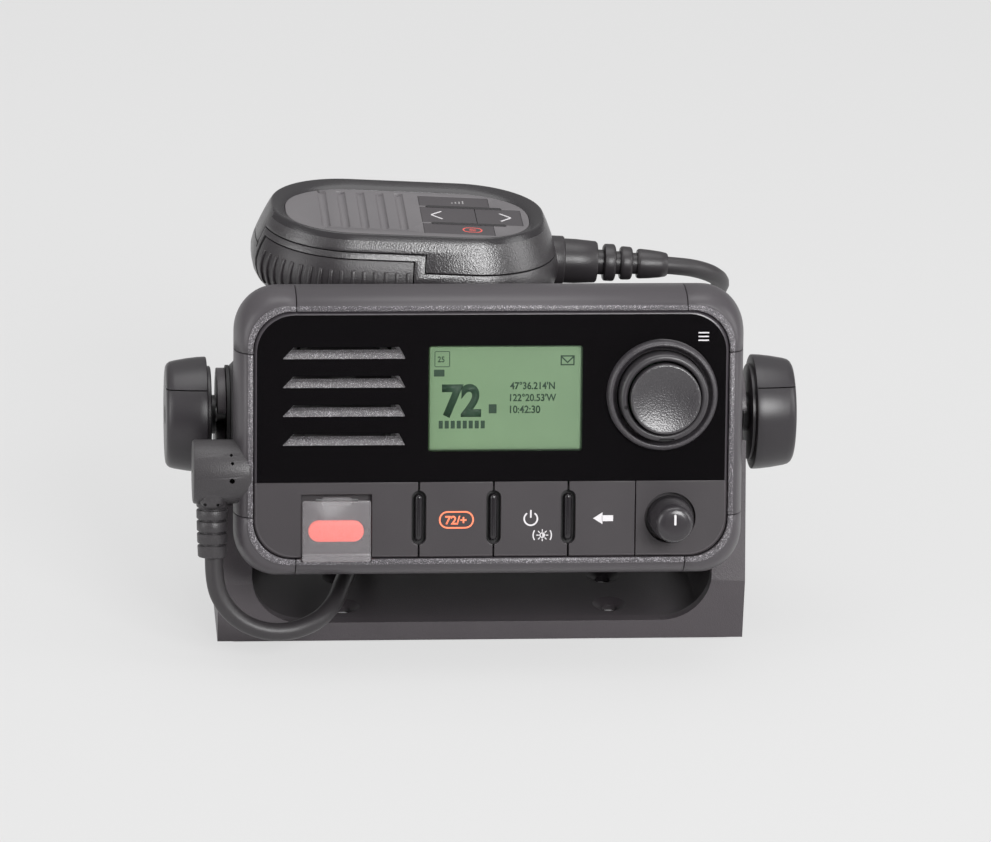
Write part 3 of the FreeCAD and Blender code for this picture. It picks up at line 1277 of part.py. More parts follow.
def tube(name, points):
    """A round cord along straight runs that are joined by tangent arcs."""
    spots = [Vector(*point) for point in points]
    edges = []
    at = spots[0]
    radii = []
    for before, corner, after in zip(spots, spots[1:], spots[2:]):
        run_in = before - corner
        run_out = after - corner
        shorter = min(run_in.Length, run_out.Length)
        back = Vector(run_in).normalize()
        ahead = Vector(run_out).normalize()
        turn = math.pi - back.getAngle(ahead)
        trim = 0.45 * shorter
        radii.append(trim / math.tan(turn / 2))
        start = corner + back * trim
        end = corner + ahead * trim
        middle_line = (back + ahead).normalize()
        centre = corner + middle_line * (radii[-1] / math.cos(turn / 2))
        middle = centre - middle_line * radii[-1]
        edges.append(Part.LineSegment(at, start).toShape())
        edges.append(Part.Arc(start, middle, end).toShape())
        at = end
    edges.append(Part.LineSegment(at, spots[-1]).toShape())
    path = Part.Wire(edges)
    section = Part.Wire(Part.Circle(
        spots[0], spots[1] - spots[0], number("cord_diameter") / 2).toShape())
    solid = path.makePipeShell([section], True, False)
    expected = math.pi * (number("cord_diameter") / 2) ** 2 * path.Length
    print(name, "length", round(path.Length, 1), "volume ratio", round(solid.Volume / expected, 4),
          "radii in diameters", [round(radius / number("cord_diameter"), 1) for radius in radii])
    return feature(name, solid)


mic_cord_start = mic_place.multVec(
    Vector(number(relief_end + " + cord_gap"), 0, number("cord_axis")))
plug_cord_end = radio_place.multVec(
    Vector(number("relief_x"), number(deep("socket_depth")),
           number("relief_bottom - cord_gap / 3")))
turn_radius = COIL_RADIUS + number("cord_diameter")
coil_in = math.radians(20)
coil_entry = Vector(COIL_X + turn_radius * math.cos(coil_in),
                    COIL_Y + turn_radius * math.sin(coil_in), 1.5 * number("cord_diameter") + 0.1)
coil_leave = Vector(COIL_X - turn_radius, COIL_Y - 2, number("cord_diameter") / 2 + 0.2)
node("cord_mic_side", Placement(),
     tube("cord_mic_tube", [mic_cord_start] + MIC_SIDE + [coil_entry]))
node("cord_plug_side", Placement(),
     tube("cord_plug_tube", [coil_leave] + PLUG_SIDE + [plug_cord_end]))

def turn_edge(ring, side, share, height):
    """A point of the coil's section: a share of the cord's diameter beside one ring of turns."""
    across = f"{COIL_RADIUS} + ({ring} + {side * share}) * cord_diameter"
    return across, f"{height} * cord_diameter + 0.1"


section = [turn_edge(-1, -1, 0.2, 0), turn_edge(1, 1, 0.2, 0)]
for share, height in ((0.43, 0.25), (0.5, 0.5), (0.43, 0.75), (0.17, 1.0), (0.43, 1.26),
                      (0.5, 1.5)):
    section.append(turn_edge(1, 1, share, height))
for ring in (1, 0, -1):
    for side, share, height in ((1, 0.28, 1.93), (1, 0, 2.02), (-1, 0.28, 1.93)):
        section.append(turn_edge(ring, side, share, height))
    if ring > -1:
        section.append(turn_edge(ring, -1, 0.5, 1.65))
for share, height in ((0.5, 1.5), (0.43, 1.26), (0.17, 1.0), (0.43, 0.75), (0.5, 0.5),
                      (0.43, 0.25)):
    section.append(turn_edge(-1, -1, share, height))
node("cord_coil", Placement(), lathe("coil_ring", section, "Z", x=COIL_X, y=COIL_Y))

# ---------------------------------------------------------------- check and write

document.recompute()
for item in document.Objects:
    if "Invalid" in item.State or "Error" in item.State:
        raise RuntimeError(f"{item.Label} did not build: {item.State}")
for label, item in nodes.items():
    if item.Shape.isNull() or not item.Shape.isValid() or not item.Shape.Solids:
        raise RuntimeError(f"{label} has no valid solid")
os.makedirs("parts", exist_ok=True)
for label, item in nodes.items():
    item.Shape.exportStep(f"parts/{label}.step")
print(len(nodes), "sub-parts written")
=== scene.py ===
import math

import bpy
from mathutils import Matrix, Vector


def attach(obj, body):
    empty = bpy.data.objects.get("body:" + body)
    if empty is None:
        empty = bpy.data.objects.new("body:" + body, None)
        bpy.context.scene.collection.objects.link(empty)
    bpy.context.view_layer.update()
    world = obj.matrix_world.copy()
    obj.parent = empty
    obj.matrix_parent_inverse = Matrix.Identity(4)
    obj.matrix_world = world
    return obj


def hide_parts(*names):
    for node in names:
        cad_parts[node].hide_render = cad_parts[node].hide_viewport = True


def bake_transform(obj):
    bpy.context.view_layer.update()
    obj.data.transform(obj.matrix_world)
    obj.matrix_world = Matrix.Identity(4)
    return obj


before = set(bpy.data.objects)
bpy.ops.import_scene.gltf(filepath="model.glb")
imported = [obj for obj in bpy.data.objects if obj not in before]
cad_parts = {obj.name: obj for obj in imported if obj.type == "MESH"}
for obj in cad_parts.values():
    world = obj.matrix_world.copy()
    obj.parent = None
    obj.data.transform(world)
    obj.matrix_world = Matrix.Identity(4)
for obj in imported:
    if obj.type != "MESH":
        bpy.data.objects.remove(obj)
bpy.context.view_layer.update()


# ---- camera
# A long lens on a stand, a little to the left of the radio's middle and well above it. It looks down
# on the leaned-back face, so that the microphone on top and the bracket's floor both show.

MM = 0.001
CAMERA_AZIMUTH = math.radians(-5.68)
CAMERA_HEIGHT = math.radians(23.15)
CAMERA_ROLL = math.radians(1.93)
CAMERA_DISTANCE = 1.914
AIM = Vector((0, 0, 66.5)) * MM
AIM_ACROSS = 5.26 * MM
AIM_UP = -2.63 * MM
FOCAL_LENGTH = 215.3

toward_camera = Vector((
    math.sin(CAMERA_AZIMUTH) * math.cos(CAMERA_HEIGHT),
    -math.cos(CAMERA_AZIMUTH) * math.cos(CAMERA_HEIGHT),
    math.sin(CAMERA_HEIGHT)))
level_right = Vector((math.cos(CAMERA_AZIMUTH), math.sin(CAMERA_AZIMUTH), 0))
level_up = toward_camera.cross(level_right)
camera_right = math.cos(CAMERA_ROLL) * level_right + math.sin(CAMERA_ROLL) * level_up
camera_up = math.cos(CAMERA_ROLL) * level_up - math.sin(CAMERA_ROLL) * level_right
camera_spot = AIM + AIM_ACROSS * camera_right + AIM_UP * camera_up + toward_camera * CAMERA_DISTANCE

lens = bpy.data.cameras.new("long_lens")
lens.sensor_width = 36
lens.lens = FOCAL_LENGTH
lens.clip_end = 100
camera = bpy.data.objects.new("camera", lens)
bpy.context.scene.collection.objects.link(camera)
camera.matrix_world = Matrix((
    (camera_right.x, camera_up.x, toward_camera.x, camera_spot.x),
    (camera_right.y, camera_up.y, toward_camera.y, camera_spot.y),
    (camera_right.z, camera_up.z, toward_camera.z, camera_spot.z),
    (0, 0, 0, 1)))
bpy.context.scene.camera = camera
bpy.context.scene.view_settings.view_transform = "Standard"


# ---- microphone cord
# A limp round cord in soft black rubber, moulded into a strain relief at each end. It comes out of
# the microphone, drops behind the radio into a flat coil of its spare length, then runs forward over
# the bracket's floor and up into the plug. It is two lengths that meet beside the radio.

CORD_DIAMETER = 5.8
CORD_MEETING = (76.0, 81.0, 59.0)
MICROPHONE_RUN = [
    (63.9, 43.2, 100.4), (70.8, 44.1, 99.5), (76.9, 46.6, 97.2), (81.6, 50.6, 93.8),
    (84.5, 56.0, 89.5), (84.8, 61.8, 85.0), (82.3, 69.5, 77.5), (79.0, 77.0, 66.0),
    CORD_MEETING,
]
PLUG_RUN = [
    (-87.2, -45.1, 36.6), (-87.2, -47.1, 28.6), (-84.0, -48.6, 21.1), (-78.2, -49.5, 15.5),
    (-70.8, -49.5, 12.4), (-63.5, -48.5, 11.8), (-57.4, -45.9, 12.5), (-52.7, -42.2, 13.6),
    (-49.3, -37.4, 15.0), (-47.0, -31.6, 15.6), (-44.5, -20.8, 16.2), (-40.2, -4.5, 15.8),
    (-35.6, 13.5, 13.8), (-33.0, 31.0, 10.7), (-32.4, 44.0, 6.4), (-32.2, 57.0, 3.6),
    (-32.0, 76.0, 3.1), (-32.2, 104.0, 3.1),
]
RISE_TO_MEETING = [
    (46.4, 129.9, 9.8), (51.5, 114.5, 16.5), (57.5, 102.5, 26.5), (65.5, 93.0, 38.5),
    (73.0, 85.0, 52.0), CORD_MEETING,
]
COIL_MIDDLE = (5.5, 132.0)
TURN_RADII = (38.4, 32.5, 26.6)
COIL_LAYERS = (3.1, 8.9)
POINTS_A_TURN = 16
# each stage of the winding: radius, height and how far round it ends, in degrees
COIL_STAGES = [
    (0, 0, 310), (1, 0, 360), (1, 0, 670), (2, 0, 720), (2, 0, 980), (2, 1, 1030), (2, 1, 1290),
    (1, 1, 1340), (1, 1, 1650), (0, 1, 1700), (0, 1, 1960)]

coil_run = []
stage_start = (TURN_RADII[0], COIL_LAYERS[0], 0)
turned = 0
for ring, layer, stage_end in COIL_STAGES:
    stage_goal = (TURN_RADII[ring], COIL_LAYERS[layer], stage_end)
    while turned <= stage_end:
        share = (turned - stage_start[2]) / max(1, stage_end - stage_start[2])
        radius = stage_start[0] + share * (stage_goal[0] - stage_start[0])
        height = stage_start[1] + share * (stage_goal[1] - stage_start[1])
        bearing = math.radians(180 - turned)
        coil_run.append((COIL_MIDDLE[0] + radius * math.cos(bearing),
                         COIL_MIDDLE[1] + radius * math.sin(bearing), height))
        turned += 360 / POINTS_A_TURN
    stage_start = stage_goal


def lay_cord(name, run):
    """A round tube along one smooth open spline, and the points that its centre follows."""
    line = bpy.data.curves.new(name + "_line", "CURVE")
    line.dimensions = "3D"
    spline = line.splines.new("NURBS")
    spline.points.add(len(run) - 1)
    for point, (across, along, height) in zip(spline.points, run):
        point.co = (across * MM, along * MM, height * MM, 1)
    spline.order_u = 3
    spline.use_endpoint_u = True
    spline.resolution_u = 10
    guide = bpy.data.objects.new(name + "_guide", line)
    bpy.context.scene.collection.objects.link(guide)
    centre = bpy.data.meshes.new_from_object(guide)
    path = [tuple(vertex.co) for vertex in centre.vertices]
    line.bevel_depth = CORD_DIAMETER / 2 * MM
    line.bevel_resolution = 5
    line.use_fill_caps = True
    cord = bpy.data.objects.new(name, bpy.data.meshes.new_from_object(guide))
    bpy.context.scene.collection.objects.link(cord)
    bpy.data.objects.remove(guide)
    for face in cord.data.polygons:
        face.use_smooth = True
    return cord, path


def set_inputs(tree, node, inputs):
    """Give each of these inputs its number, its colour or a link from another node."""
    for name, value in inputs.items():
        if isinstance(value, bpy.types.NodeSocket):
            tree.links.new(value, node.inputs[name])
        else:
            node.inputs[name].default_value = value
    return node.outputs


def add_node(tree, kind, inputs, **settings):
    """Add a node with these settings and inputs. It returns the node's outputs."""
    node = tree.nodes.new(kind)
    for name, value in settings.items():
        setattr(node, name, value)
    return set_inputs(tree, node, inputs)


def noise_node(tree, place, scale, detail=2.0, rough=0.5):
    """One noise texture that reads this place."""
    return add_node(tree, "ShaderNodeTexNoise", {
        "Vector": place, "Scale": scale, "Detail": detail, "Roughness": rough})["Fac"]


def sum_node(tree, kind, *terms):
    """One sum of sockets or numbers."""
    return add_node(tree, "ShaderNodeMath", dict(enumerate(terms)), operation=kind)[0]


def tint_node(tree, share, first, second, blend="MIX"):
    """A blend of two colours by a share."""
    first, second = [(*tone, 1) if isinstance(tone, tuple) else tone for tone in (first, second)]
    return add_node(tree, "ShaderNodeMix", {0: share, 6: first, 7: second}, data_type="RGBA",
                    blend_type=blend)[2]


# the skin of a moulded part: a fine pebble from the mould, slow changes of tone and gloss, and light
# specks on the pebble's peaks that are painted glints
mould_skin = bpy.data.node_groups.new("mould_skin", "ShaderNodeTree")
for name, kind in (("Place", "NodeSocketVector"), ("Colour", "NodeSocketColor"),
                   ("Painted Glint Colour", "NodeSocketColor"), ("Pebble Scale", "NodeSocketFloat"),
                   ("Painted Glint Share", "NodeSocketFloat"), ("Gloss", "NodeSocketFloat"),
                   ("Gloss Change", "NodeSocketFloat")):
    mould_skin.interface.new_socket(name=name, in_out="INPUT", socket_type=kind)
for name, kind in (("Colour", "NodeSocketColor"), ("Roughness", "NodeSocketFloat"),
                   ("Height", "NodeSocketFloat")):
    mould_skin.interface.new_socket(name=name, in_out="OUTPUT", socket_type=kind)
skin_in = mould_skin.nodes.new("NodeGroupInput").outputs
skin_out = mould_skin.nodes.new("NodeGroupOutput").inputs
GLINT_CONTRAST, GLINT_LEVEL = 7.0, -3.7
pebble = add_node(mould_skin, "ShaderNodeTexVoronoi", {
    "Vector": skin_in["Place"], "Scale": skin_in["Pebble Scale"], "Smoothness": 0.6},
    feature="SMOOTH_F1")
fine_scale = sum_node(mould_skin, "MULTIPLY", skin_in["Pebble Scale"], 1.7)
fine = noise_node(mould_skin, skin_in["Place"], fine_scale, 3)
slow = noise_node(mould_skin, skin_in["Place"], 55, 3, 0.55)
# the light specks are painted glints: bright colour where the fine pebble rises, whatever the light
painted_glints = sum_node(mould_skin, "MULTIPLY_ADD", fine, GLINT_CONTRAST, GLINT_LEVEL)
painted_glints = sum_node(mould_skin, "MINIMUM", sum_node(mould_skin, "MAXIMUM", painted_glints, 0.0), 1.0)
painted_glint_share = sum_node(mould_skin, "MULTIPLY", painted_glints, skin_in["Painted Glint Share"])
toned = tint_node(mould_skin, painted_glint_share, skin_in["Colour"], skin_in["Painted Glint Colour"])
darker = tint_node(mould_skin, 1.0, toned, (0.82, 0.82, 0.84), "MULTIPLY")
gloss_swing = sum_node(mould_skin, "SUBTRACT", slow, 0.5)
for name, value in (
        ("Colour", tint_node(mould_skin, slow, darker, toned)),
        ("Roughness", sum_node(mould_skin, "MULTIPLY_ADD", gloss_swing, skin_in["Gloss Change"],
                               skin_in["Gloss"])),
        ("Height", sum_node(mould_skin, "MULTIPLY_ADD", fine, 0.6, pebble["Distance"]))):
    mould_skin.links.new(value, skin_out[name])
BUMP_DEPTH = 0.0002


def moulded(name, colour, roughness, pebble_scale=2600, bump=0.25, painted_glints=0.0, light=(0.3, 0.3, 0.3),
            change=0.12, specular=0.5, metal=0.0, glow=0.0, glow_colour=(1.0, 1.0, 1.0)):
    """A moulded or cast finish: the shader itself, with the mould skin on its sockets and its painted
    glints.
    """
    material = bpy.data.materials.new(name)
    material.use_nodes = True
    tree = material.node_tree
    skin = add_node(tree, "ShaderNodeGroup", {
        "Place": add_node(tree, "ShaderNodeTexCoord", {})["Object"], "Colour": (*colour, 1),
        "Painted Glint Colour": (*light, 1), "Pebble Scale": pebble_scale, "Painted Glint Share": painted_glints,
        "Gloss": roughness, "Gloss Change": change}, node_tree=mould_skin)
    # a glow here is painted light: none of the parts that use it is a lamp
    finish = {"Base Color": skin["Colour"], "Roughness": skin["Roughness"], "Metallic": metal,
              "Specular IOR Level": specular, "Emission Strength": glow,
              "Emission Color": (*glow_colour, 1)}
    if bump:
        finish["Normal"] = add_node(tree, "ShaderNodeBump", {
            "Strength": bump, "Distance": BUMP_DEPTH, "Height": skin["Height"]})["Normal"]
    set_inputs(tree, tree.nodes["Principled BSDF"], finish)
    return material


cord_rubber = moulded("cord_rubber", (0.030, 0.027, 0.029), 0.44, 1500, 0.10)
microphone_cord, microphone_path = lay_cord("microphone_cord", MICROPHONE_RUN)
microphone_cord.data.materials.append(cord_rubber)
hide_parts("cord_mic_side")
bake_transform(microphone_cord)

plug_cord, plug_path = lay_cord("plug_cord", PLUG_RUN + coil_run + RISE_TO_MEETING)
plug_cord.data.materials.append(cord_rubber)
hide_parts("cord_plug_side", "cord_coil")
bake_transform(plug_cord)


# ---- studio
# A plain pale table and soft light: a wide lamp overhead, one on each side, a stronger one in front
# on the right, and a dim room. The room is dark low in front, so that glossy black stays black.

FLOOR_TONE = 0.735
FLOOR_SHARE = 0.85
ROOM_TONE = FLOOR_TONE + 0.04
SHADE_HALF_WIDTH, SHADE_HALF_LENGTH = 0.080, 0.030
TABLE_SIZE, TABLE_DROP = 40, 0.0002
LAMP_AIM = Vector((0, 0, 0.06))
# each lamp's place, width, height and power
LAMPS = {
    "overhead_lamp": ((0.0, 0.15, 1.2), 1.1, 0.8, 6.5),
    "left_lamp": ((-1.1, -0.35, 0.45), 0.7, 0.8, 5.0),
    "right_lamp": ((1.2, -0.25, 0.55), 0.6, 0.8, 5.5),
    "front_lamp": ((0.38, -1.04, 0.74), 0.50, 0.46, 14.0),
}


def range_node(tree, value, low, high, new_low, new_high, kind="LINEAR"):
    """Carry a value over from one range to another."""
    return add_node(tree, "ShaderNodeMapRange", {
        "Value": value, "From Min": low, "From Max": high, "To Min": new_low, "To Max": new_high},
        interpolation_type=kind)[0]


floor_paint = bpy.data.materials.new("table_paint")
floor_paint.use_nodes = True
tree = floor_paint.node_tree
tree.nodes.clear()
painted = add_node(tree, "ShaderNodeBsdfDiffuse", {"Color": (0.80, 0.80, 0.80, 1)})
plain = add_node(tree, "ShaderNodeEmission", {"Color": (FLOOR_TONE, FLOOR_TONE, FLOOR_TONE, 1)})
rays = add_node(tree, "ShaderNodeLightPath", {})
seen = sum_node(tree, "MAXIMUM", rays["Is Camera Ray"], rays["Is Glossy Ray"])
seen = sum_node(tree, "MAXIMUM", seen, rays["Is Transmission Ray"])
# Under the bracket the table lies in the dark, and is seen through the four screw holes.
ground = add_node(tree, "ShaderNodeNewGeometry", {})
spot = add_node(tree, "ShaderNodeSeparateXYZ", {0: ground["Position"]})
beside = sum_node(tree, "GREATER_THAN", sum_node(tree, "ABSOLUTE", spot["X"]), SHADE_HALF_WIDTH)
fore = sum_node(tree, "GREATER_THAN", sum_node(tree, "ABSOLUTE", spot["Y"]), SHADE_HALF_LENGTH)
open_floor = sum_node(tree, "MAXIMUM", beside, fore)
share = sum_node(tree, "MULTIPLY", sum_node(tree, "MULTIPLY", seen, FLOOR_SHARE), open_floor)
both = add_node(tree, "ShaderNodeMixShader", {0: share, 1: painted[0], 2: plain[0]})
add_node(tree, "ShaderNodeOutputMaterial", {"Surface": both[0]})

bpy.ops.mesh.primitive_plane_add(size=TABLE_SIZE, location=(0, 0, -TABLE_DROP))
table_top = bpy.context.object
table_top.name = "table_top"
table_top.data.materials.append(floor_paint)

room = bpy.data.worlds.new("room")
bpy.context.scene.world = room
room.use_nodes = True
tree = room.node_tree
heading = add_node(tree, "ShaderNodeTexCoord", {})
parts = add_node(tree, "ShaderNodeSeparateXYZ", {0: heading["Generated"]})
rise = range_node(tree, parts["Z"], 0.02, 0.75, 0.26, 0.62, "SMOOTHSTEP")
ahead = range_node(tree, parts["Y"], -0.95, -0.70, 0.04, 1.0, "SMOOTHSTEP")
level = sum_node(tree, "MULTIPLY", rise, ahead)
looked_at = add_node(tree, "ShaderNodeLightPath", {})["Is Camera Ray"]
level = sum_node(tree, "MAXIMUM", level, sum_node(tree, "MULTIPLY", looked_at, ROOM_TONE))
tone = add_node(tree, "ShaderNodeCombineColor", {0: level, 1: level, 2: level})
set_inputs(tree, tree.nodes["Background"], {"Color": tone[0], "Strength": 1.0})

for name, (spot, width, height, power) in LAMPS.items():
    lamp = bpy.data.lights.new(name, "AREA")
    lamp.shape = "RECTANGLE"
    lamp.size = width
    lamp.size_y = height
    lamp.energy = power
    holder = bpy.data.objects.new(name, lamp)
    bpy.context.scene.collection.objects.link(holder)
    holder.location = spot
    holder.rotation_euler = (LAMP_AIM - Vector(spot)).to_track_quat("-Z", "Y").to_euler()


# ---- trunnion bracket
# A U of glass-filled plastic, moulded in one with a rim round its front and back edges. Four screws
# go down through its floor, and a slot in each arm takes the clamp stud.


def dress(material, *names, soft=None):
    """Give these CAD pieces their finish, and break their edges by this many millimetres."""
    for name in names:
        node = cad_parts[name]
        node.data.materials.clear()
        node.data.materials.append(material)
        if soft:
            weld = node.modifiers.new("join", "WELD")
            weld.merge_threshold = 0.000005
            edge = node.modifiers.new("edge_break", "BEVEL")
            edge.width = soft * MM
            edge.segments = 2
            edge.limit_method = "ANGLE"
            edge.angle_limit = math.radians(40)
            edge.harden_normals = False
            edge.use_clamp_overlap = True


# its light specks are painted glints
bracket_plastic = moulded("bracket_plastic", (0.060, 0.052, 0.057), 0.40, 2300, 0.22, 0.25,
                          (0.13, 0.12, 0.13))
dress(bracket_plastic, "trunnion_bracket", soft=0.5)


# ---- front frame and its corner caps
# The front frame is a moulded ring of tough black plastic. It swells from a narrow textured lip to a
# wide crest. A cap snaps over each corner and hides the screw, and leaves a thin seam.

TILT = math.radians(-14.3)
PIVOT = 66.5
LIP_REACH = 45.7
radio_seat = Matrix.Translation((0, 0, PIVOT * MM)) @ Matrix.Rotation(TILT, 4, "X")


def open_piece(name, scale=(1, 1, 1)):
    """Name the newest piece, set its size and leave it in edit mode, all selected."""
    piece = bpy.context.object
    piece.name = name
    piece.data.name = name
    piece.scale = scale
    bpy.ops.object.transform_apply()
    bpy.ops.object.mode_set(mode="EDIT")
    bpy.ops.mesh.select_all(action="SELECT")
    return piece


def begin_tile(name, width, height, corner, across=0.0, up=0.0, depth=0.0, segments=10):
    """A flat tile with round corners that faces the viewer, left in edit mode, all selected."""
    bpy.ops.mesh.primitive_plane_add(
        size=1, location=(across * MM, (depth - LIP_REACH) * MM, up * MM),
        rotation=(math.pi / 2, 0, 0))
    piece = open_piece(name, (width * MM, height * MM, 1))
    if corner:
        bpy.ops.mesh.bevel(offset=corner * MM, segments=segments, affect="VERTICES")
    return piece


def begin_disc(name, radius, across=0.0, up=0.0, depth=0.0, sides=96):
    """A flat disc that faces the viewer, left in edit mode, all selected."""
    bpy.ops.mesh.primitive_circle_add(
        vertices=sides, radius=radius * MM, fill_type="NGON",
        location=(across * MM, (depth - LIP_REACH) * MM, up * MM), rotation=(math.pi / 2, 0, 0))
    return open_piece(name)


def draw_out(stations, across=0.0, up=0.0, axis=1):
    """Extrude the selection along an axis. Each station is its two widths and its place on it."""
    wide, high, reach = stations[0]
    for next_wide, next_high, next_reach in stations[1:]:
        step = [0, 0]
        step.insert(axis, (next_reach - reach) * MM)
        growth = [next_wide / wide, next_high / high]
        growth.insert(axis, 1)
        bpy.ops.mesh.extrude_region_move()
        bpy.ops.transform.translate(value=step)
        bpy.ops.transform.resize(value=growth, center_override=(across * MM, 0, up * MM))
        wide, high, reach = next_wide, next_high, next_reach


def turn_out(stations, across=0.0, up=0.0):
    """The same for a round piece. Each station is its radius and depth."""
    draw_out([(radius, radius, depth) for radius, depth in stations], across, up)


def draw_ring(stations, across=0.0, up=0.0):
    """Draw out the outline only, and join its last station to its first."""
    bpy.ops.mesh.delete(type="ONLY_FACE")
    bpy.ops.mesh.select_all(action="SELECT")
    draw_out(stations, across, up)
    bpy.ops.mesh.select_all(action="DESELECT")
    bpy.ops.mesh.select_non_manifold(extend=False, use_wire=False, use_boundary=True)
    bpy.ops.mesh.bridge_edge_loops()


def pick(*pieces):
    """Select only these pieces. The first one is the active one."""
    bpy.ops.object.select_all(action="DESELECT")
    for piece in pieces:
        piece.select_set(True)
    bpy.context.view_layer.objects.active = pieces[0]


def join(pieces):
    """Make one piece of several. It keeps the first one's name."""
    pick(*pieces)
    if len(pieces) > 1:
        bpy.ops.object.join()
    return pieces[0]


def copy_of(piece, name):
    """A second piece of the same shape, with a mesh of its own."""
    twin = piece.copy()
    twin.data = piece.data.copy()
    twin.name = name
    twin.data.name = name
    bpy.context.scene.collection.objects.link(twin)
    return twin


def smooth(piece, angle):
    """Smooth a piece, but keep the edges that are sharper than this angle."""
    pick(piece)
    bpy.ops.object.shade_smooth_by_angle(angle=math.radians(angle))


def close_piece(piece, angle=32):
    """Point the faces outwards, go back to object mode and smooth all but the sharp edges."""
    bpy.ops.mesh.select_all(action="SELECT")
    bpy.ops.mesh.remove_doubles(threshold=0.000002)
    bpy.ops.mesh.normals_make_consistent(inside=False)
    bpy.ops.object.mode_set(mode="OBJECT")
    smooth(piece, angle)
    return piece


def run_modifier(piece, kind, **settings):
    """Add one modifier to a piece and apply it."""
    modifier = piece.modifiers.new(kind.lower(), kind)
    for name, value in settings.items():
        setattr(modifier, name, value)
    bpy.context.view_layer.objects.active = piece
    bpy.ops.object.modifier_apply(modifier=modifier.name)


def break_edges(piece, width, segments=2, angle=35):
    """Round the sharp edges a little, and smooth all but what stays sharp."""
    run_modifier(piece, "BEVEL", width=width * MM, segments=segments, limit_method="ANGLE",
                 angle_limit=math.radians(angle), use_clamp_overlap=True)
    smooth(piece, angle)


def carve(piece, tool, operation="DIFFERENCE"):
    """Cut a piece with a tool, whose finish shows in the cut, and remove the tool."""
    run_modifier(piece, "BOOLEAN", operation=operation, object=tool, solver="EXACT",
                 material_mode="TRANSFER")
    bpy.data.objects.remove(tool)


def seat(piece, place, body, material=None):
    """Move a finished piece to its place on the object, with its place in its mesh."""
    if material:
        piece.data.materials.clear()
        piece.data.materials.append(material)
    piece.matrix_world = place
    pick(piece)
    bpy.ops.object.transform_apply()
    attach(piece, body)


def box_tool(name, low, high, material):
    """A plain block between two corners, in the own frame of the piece that it cuts."""
    bpy.ops.mesh.primitive_cube_add(size=1)
    tool = bpy.context.object
    tool.name = name
    tool.scale = [(end - start) * MM for start, end in zip(low, high)]
    tool.location = [(end + start) / 2 * MM for start, end in zip(low, high)]
    bpy.ops.object.transform_apply()
    tool.data.materials.append(material)
    return tool


frame_plastic = moulded("frame_plastic", (0.056, 0.050, 0.055), 0.40, 3200, 0.10, change=0.06)
# the lip's texture is real grain; its bright specks are painted glints
lip_grain_and_glint = moulded("lip_grain_and_glint", (0.060, 0.055, 0.060), 0.34, 2000, 0.5, 0.8, (0.50, 0.47, 0.50))

FRAME_PROFILE = [
    (150.6, 78.8, 1.6), (150.7, 78.9, 0.25), (151.3, 79.5, 0.0), (153.4, 81.8, 0.0),
    (154.0, 82.4, 0.25), (154.2, 82.7, 0.6), (155.6, 84.5, 1.0), (157.2, 86.5, 2.0),
    (158.8, 88.5, 3.6), (160.3, 90.3, 6.0), (161.3, 91.5, 8.6), (161.8, 92.2, 11.0),
    (162.0, 92.4, 13.0), (161.8, 92.2, 15.5), (160.8, 91.2, 19.6), (160.2, 90.6, 20.0),
    (144.6, 72.8, 20.0), (144.6, 72.8, 3.4), (150.6, 78.8, 3.4)]
CAP_START_X, CAP_START_Z, CAP_DEPTH = 61.6, 25.9, 14.0
LIP_DEPTH, SEAM = 0.3, 0.3
# the bay of the distress key, which cuts into the frame and the key strip
BAY_LEFT, BAY_RIGHT, BAY_TOP, BAY_FLOOR = -60.1, -37.8, -18.8, 3.25
NOTCH_FOOT, NOTCH_DEPTH = -40.3, 1.6
# the cutting blocks reach this far across, along and up, which is well past the radio
FAR_ACROSS, FAR_ALONG, FAR_UP = 90, 60, 60

ring = begin_tile("front_frame_ring", 150.6, 78.8, 12.4, depth=1.6, segments=16)
draw_ring(FRAME_PROFILE)
close_piece(ring, 30)
ring.data.materials.append(frame_plastic)
ring.data.materials.append(lip_grain_and_glint)
for face in ring.data.polygons:
    if face.center.y < (LIP_DEPTH - LIP_REACH) * MM:
        face.material_index = 1
caps = copy_of(ring, "corner_cap_set")
cap_blocks = []
seat_blocks = []
for side_x in (-1, 1):
    for side_z in (-1, 1):
        for blocks, start in ((cap_blocks, SEAM), (seat_blocks, 0)):
            span_x = sorted((side_x * (CAP_START_X + start), side_x * FAR_ACROSS))
            span_z = sorted((side_z * (CAP_START_Z + start), side_z * FAR_UP))
            blocks.append(box_tool("cap_block", (span_x[0], -FAR_ALONG, span_z[0]),
                                   (span_x[1], CAP_DEPTH - start - LIP_REACH, span_z[1]),
                                   frame_plastic))
carve(caps, join(cap_blocks), "INTERSECT")
carve(ring, join(seat_blocks))
carve(ring, box_tool("cover_notch", (BAY_LEFT - 0.2, -FAR_ALONG, NOTCH_FOOT),
                     (BAY_RIGHT, NOTCH_DEPTH - LIP_REACH, BAY_TOP), frame_plastic))
for piece in (ring, caps):
    break_edges(piece, 0.12, 1, 50)
    seat(piece, radio_seat, "radio")
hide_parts("front_frame")
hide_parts("corner_caps")


# ---- front panel
# A glossy black plate with a satin bevel round its edge. It is glued to the frame's ledge. Four
# scooped sound slots are moulded in its left side, with a coarse texture on their sloping floors.

PANEL_WIDTH, PANEL_HEIGHT, PANEL_CORNER = 150.2, 78.4, 12.2
PANEL_FRONT, PANEL_BACK, PANEL_BEVEL = 0.4, 3.2, 0.9
STRIP_TOP = -14.85
WINDOW = (4.25, 11.6, 48.7, 33.6)
SELECTOR = (53.9, 12.6)
SELECTOR_HOLE = 14.35
SCOOP_TOPS = (28.15, 18.98, 9.81, 0.64)
SCOOP_ACROSS, SCOOP_HEIGHT = -46.6, 3.8

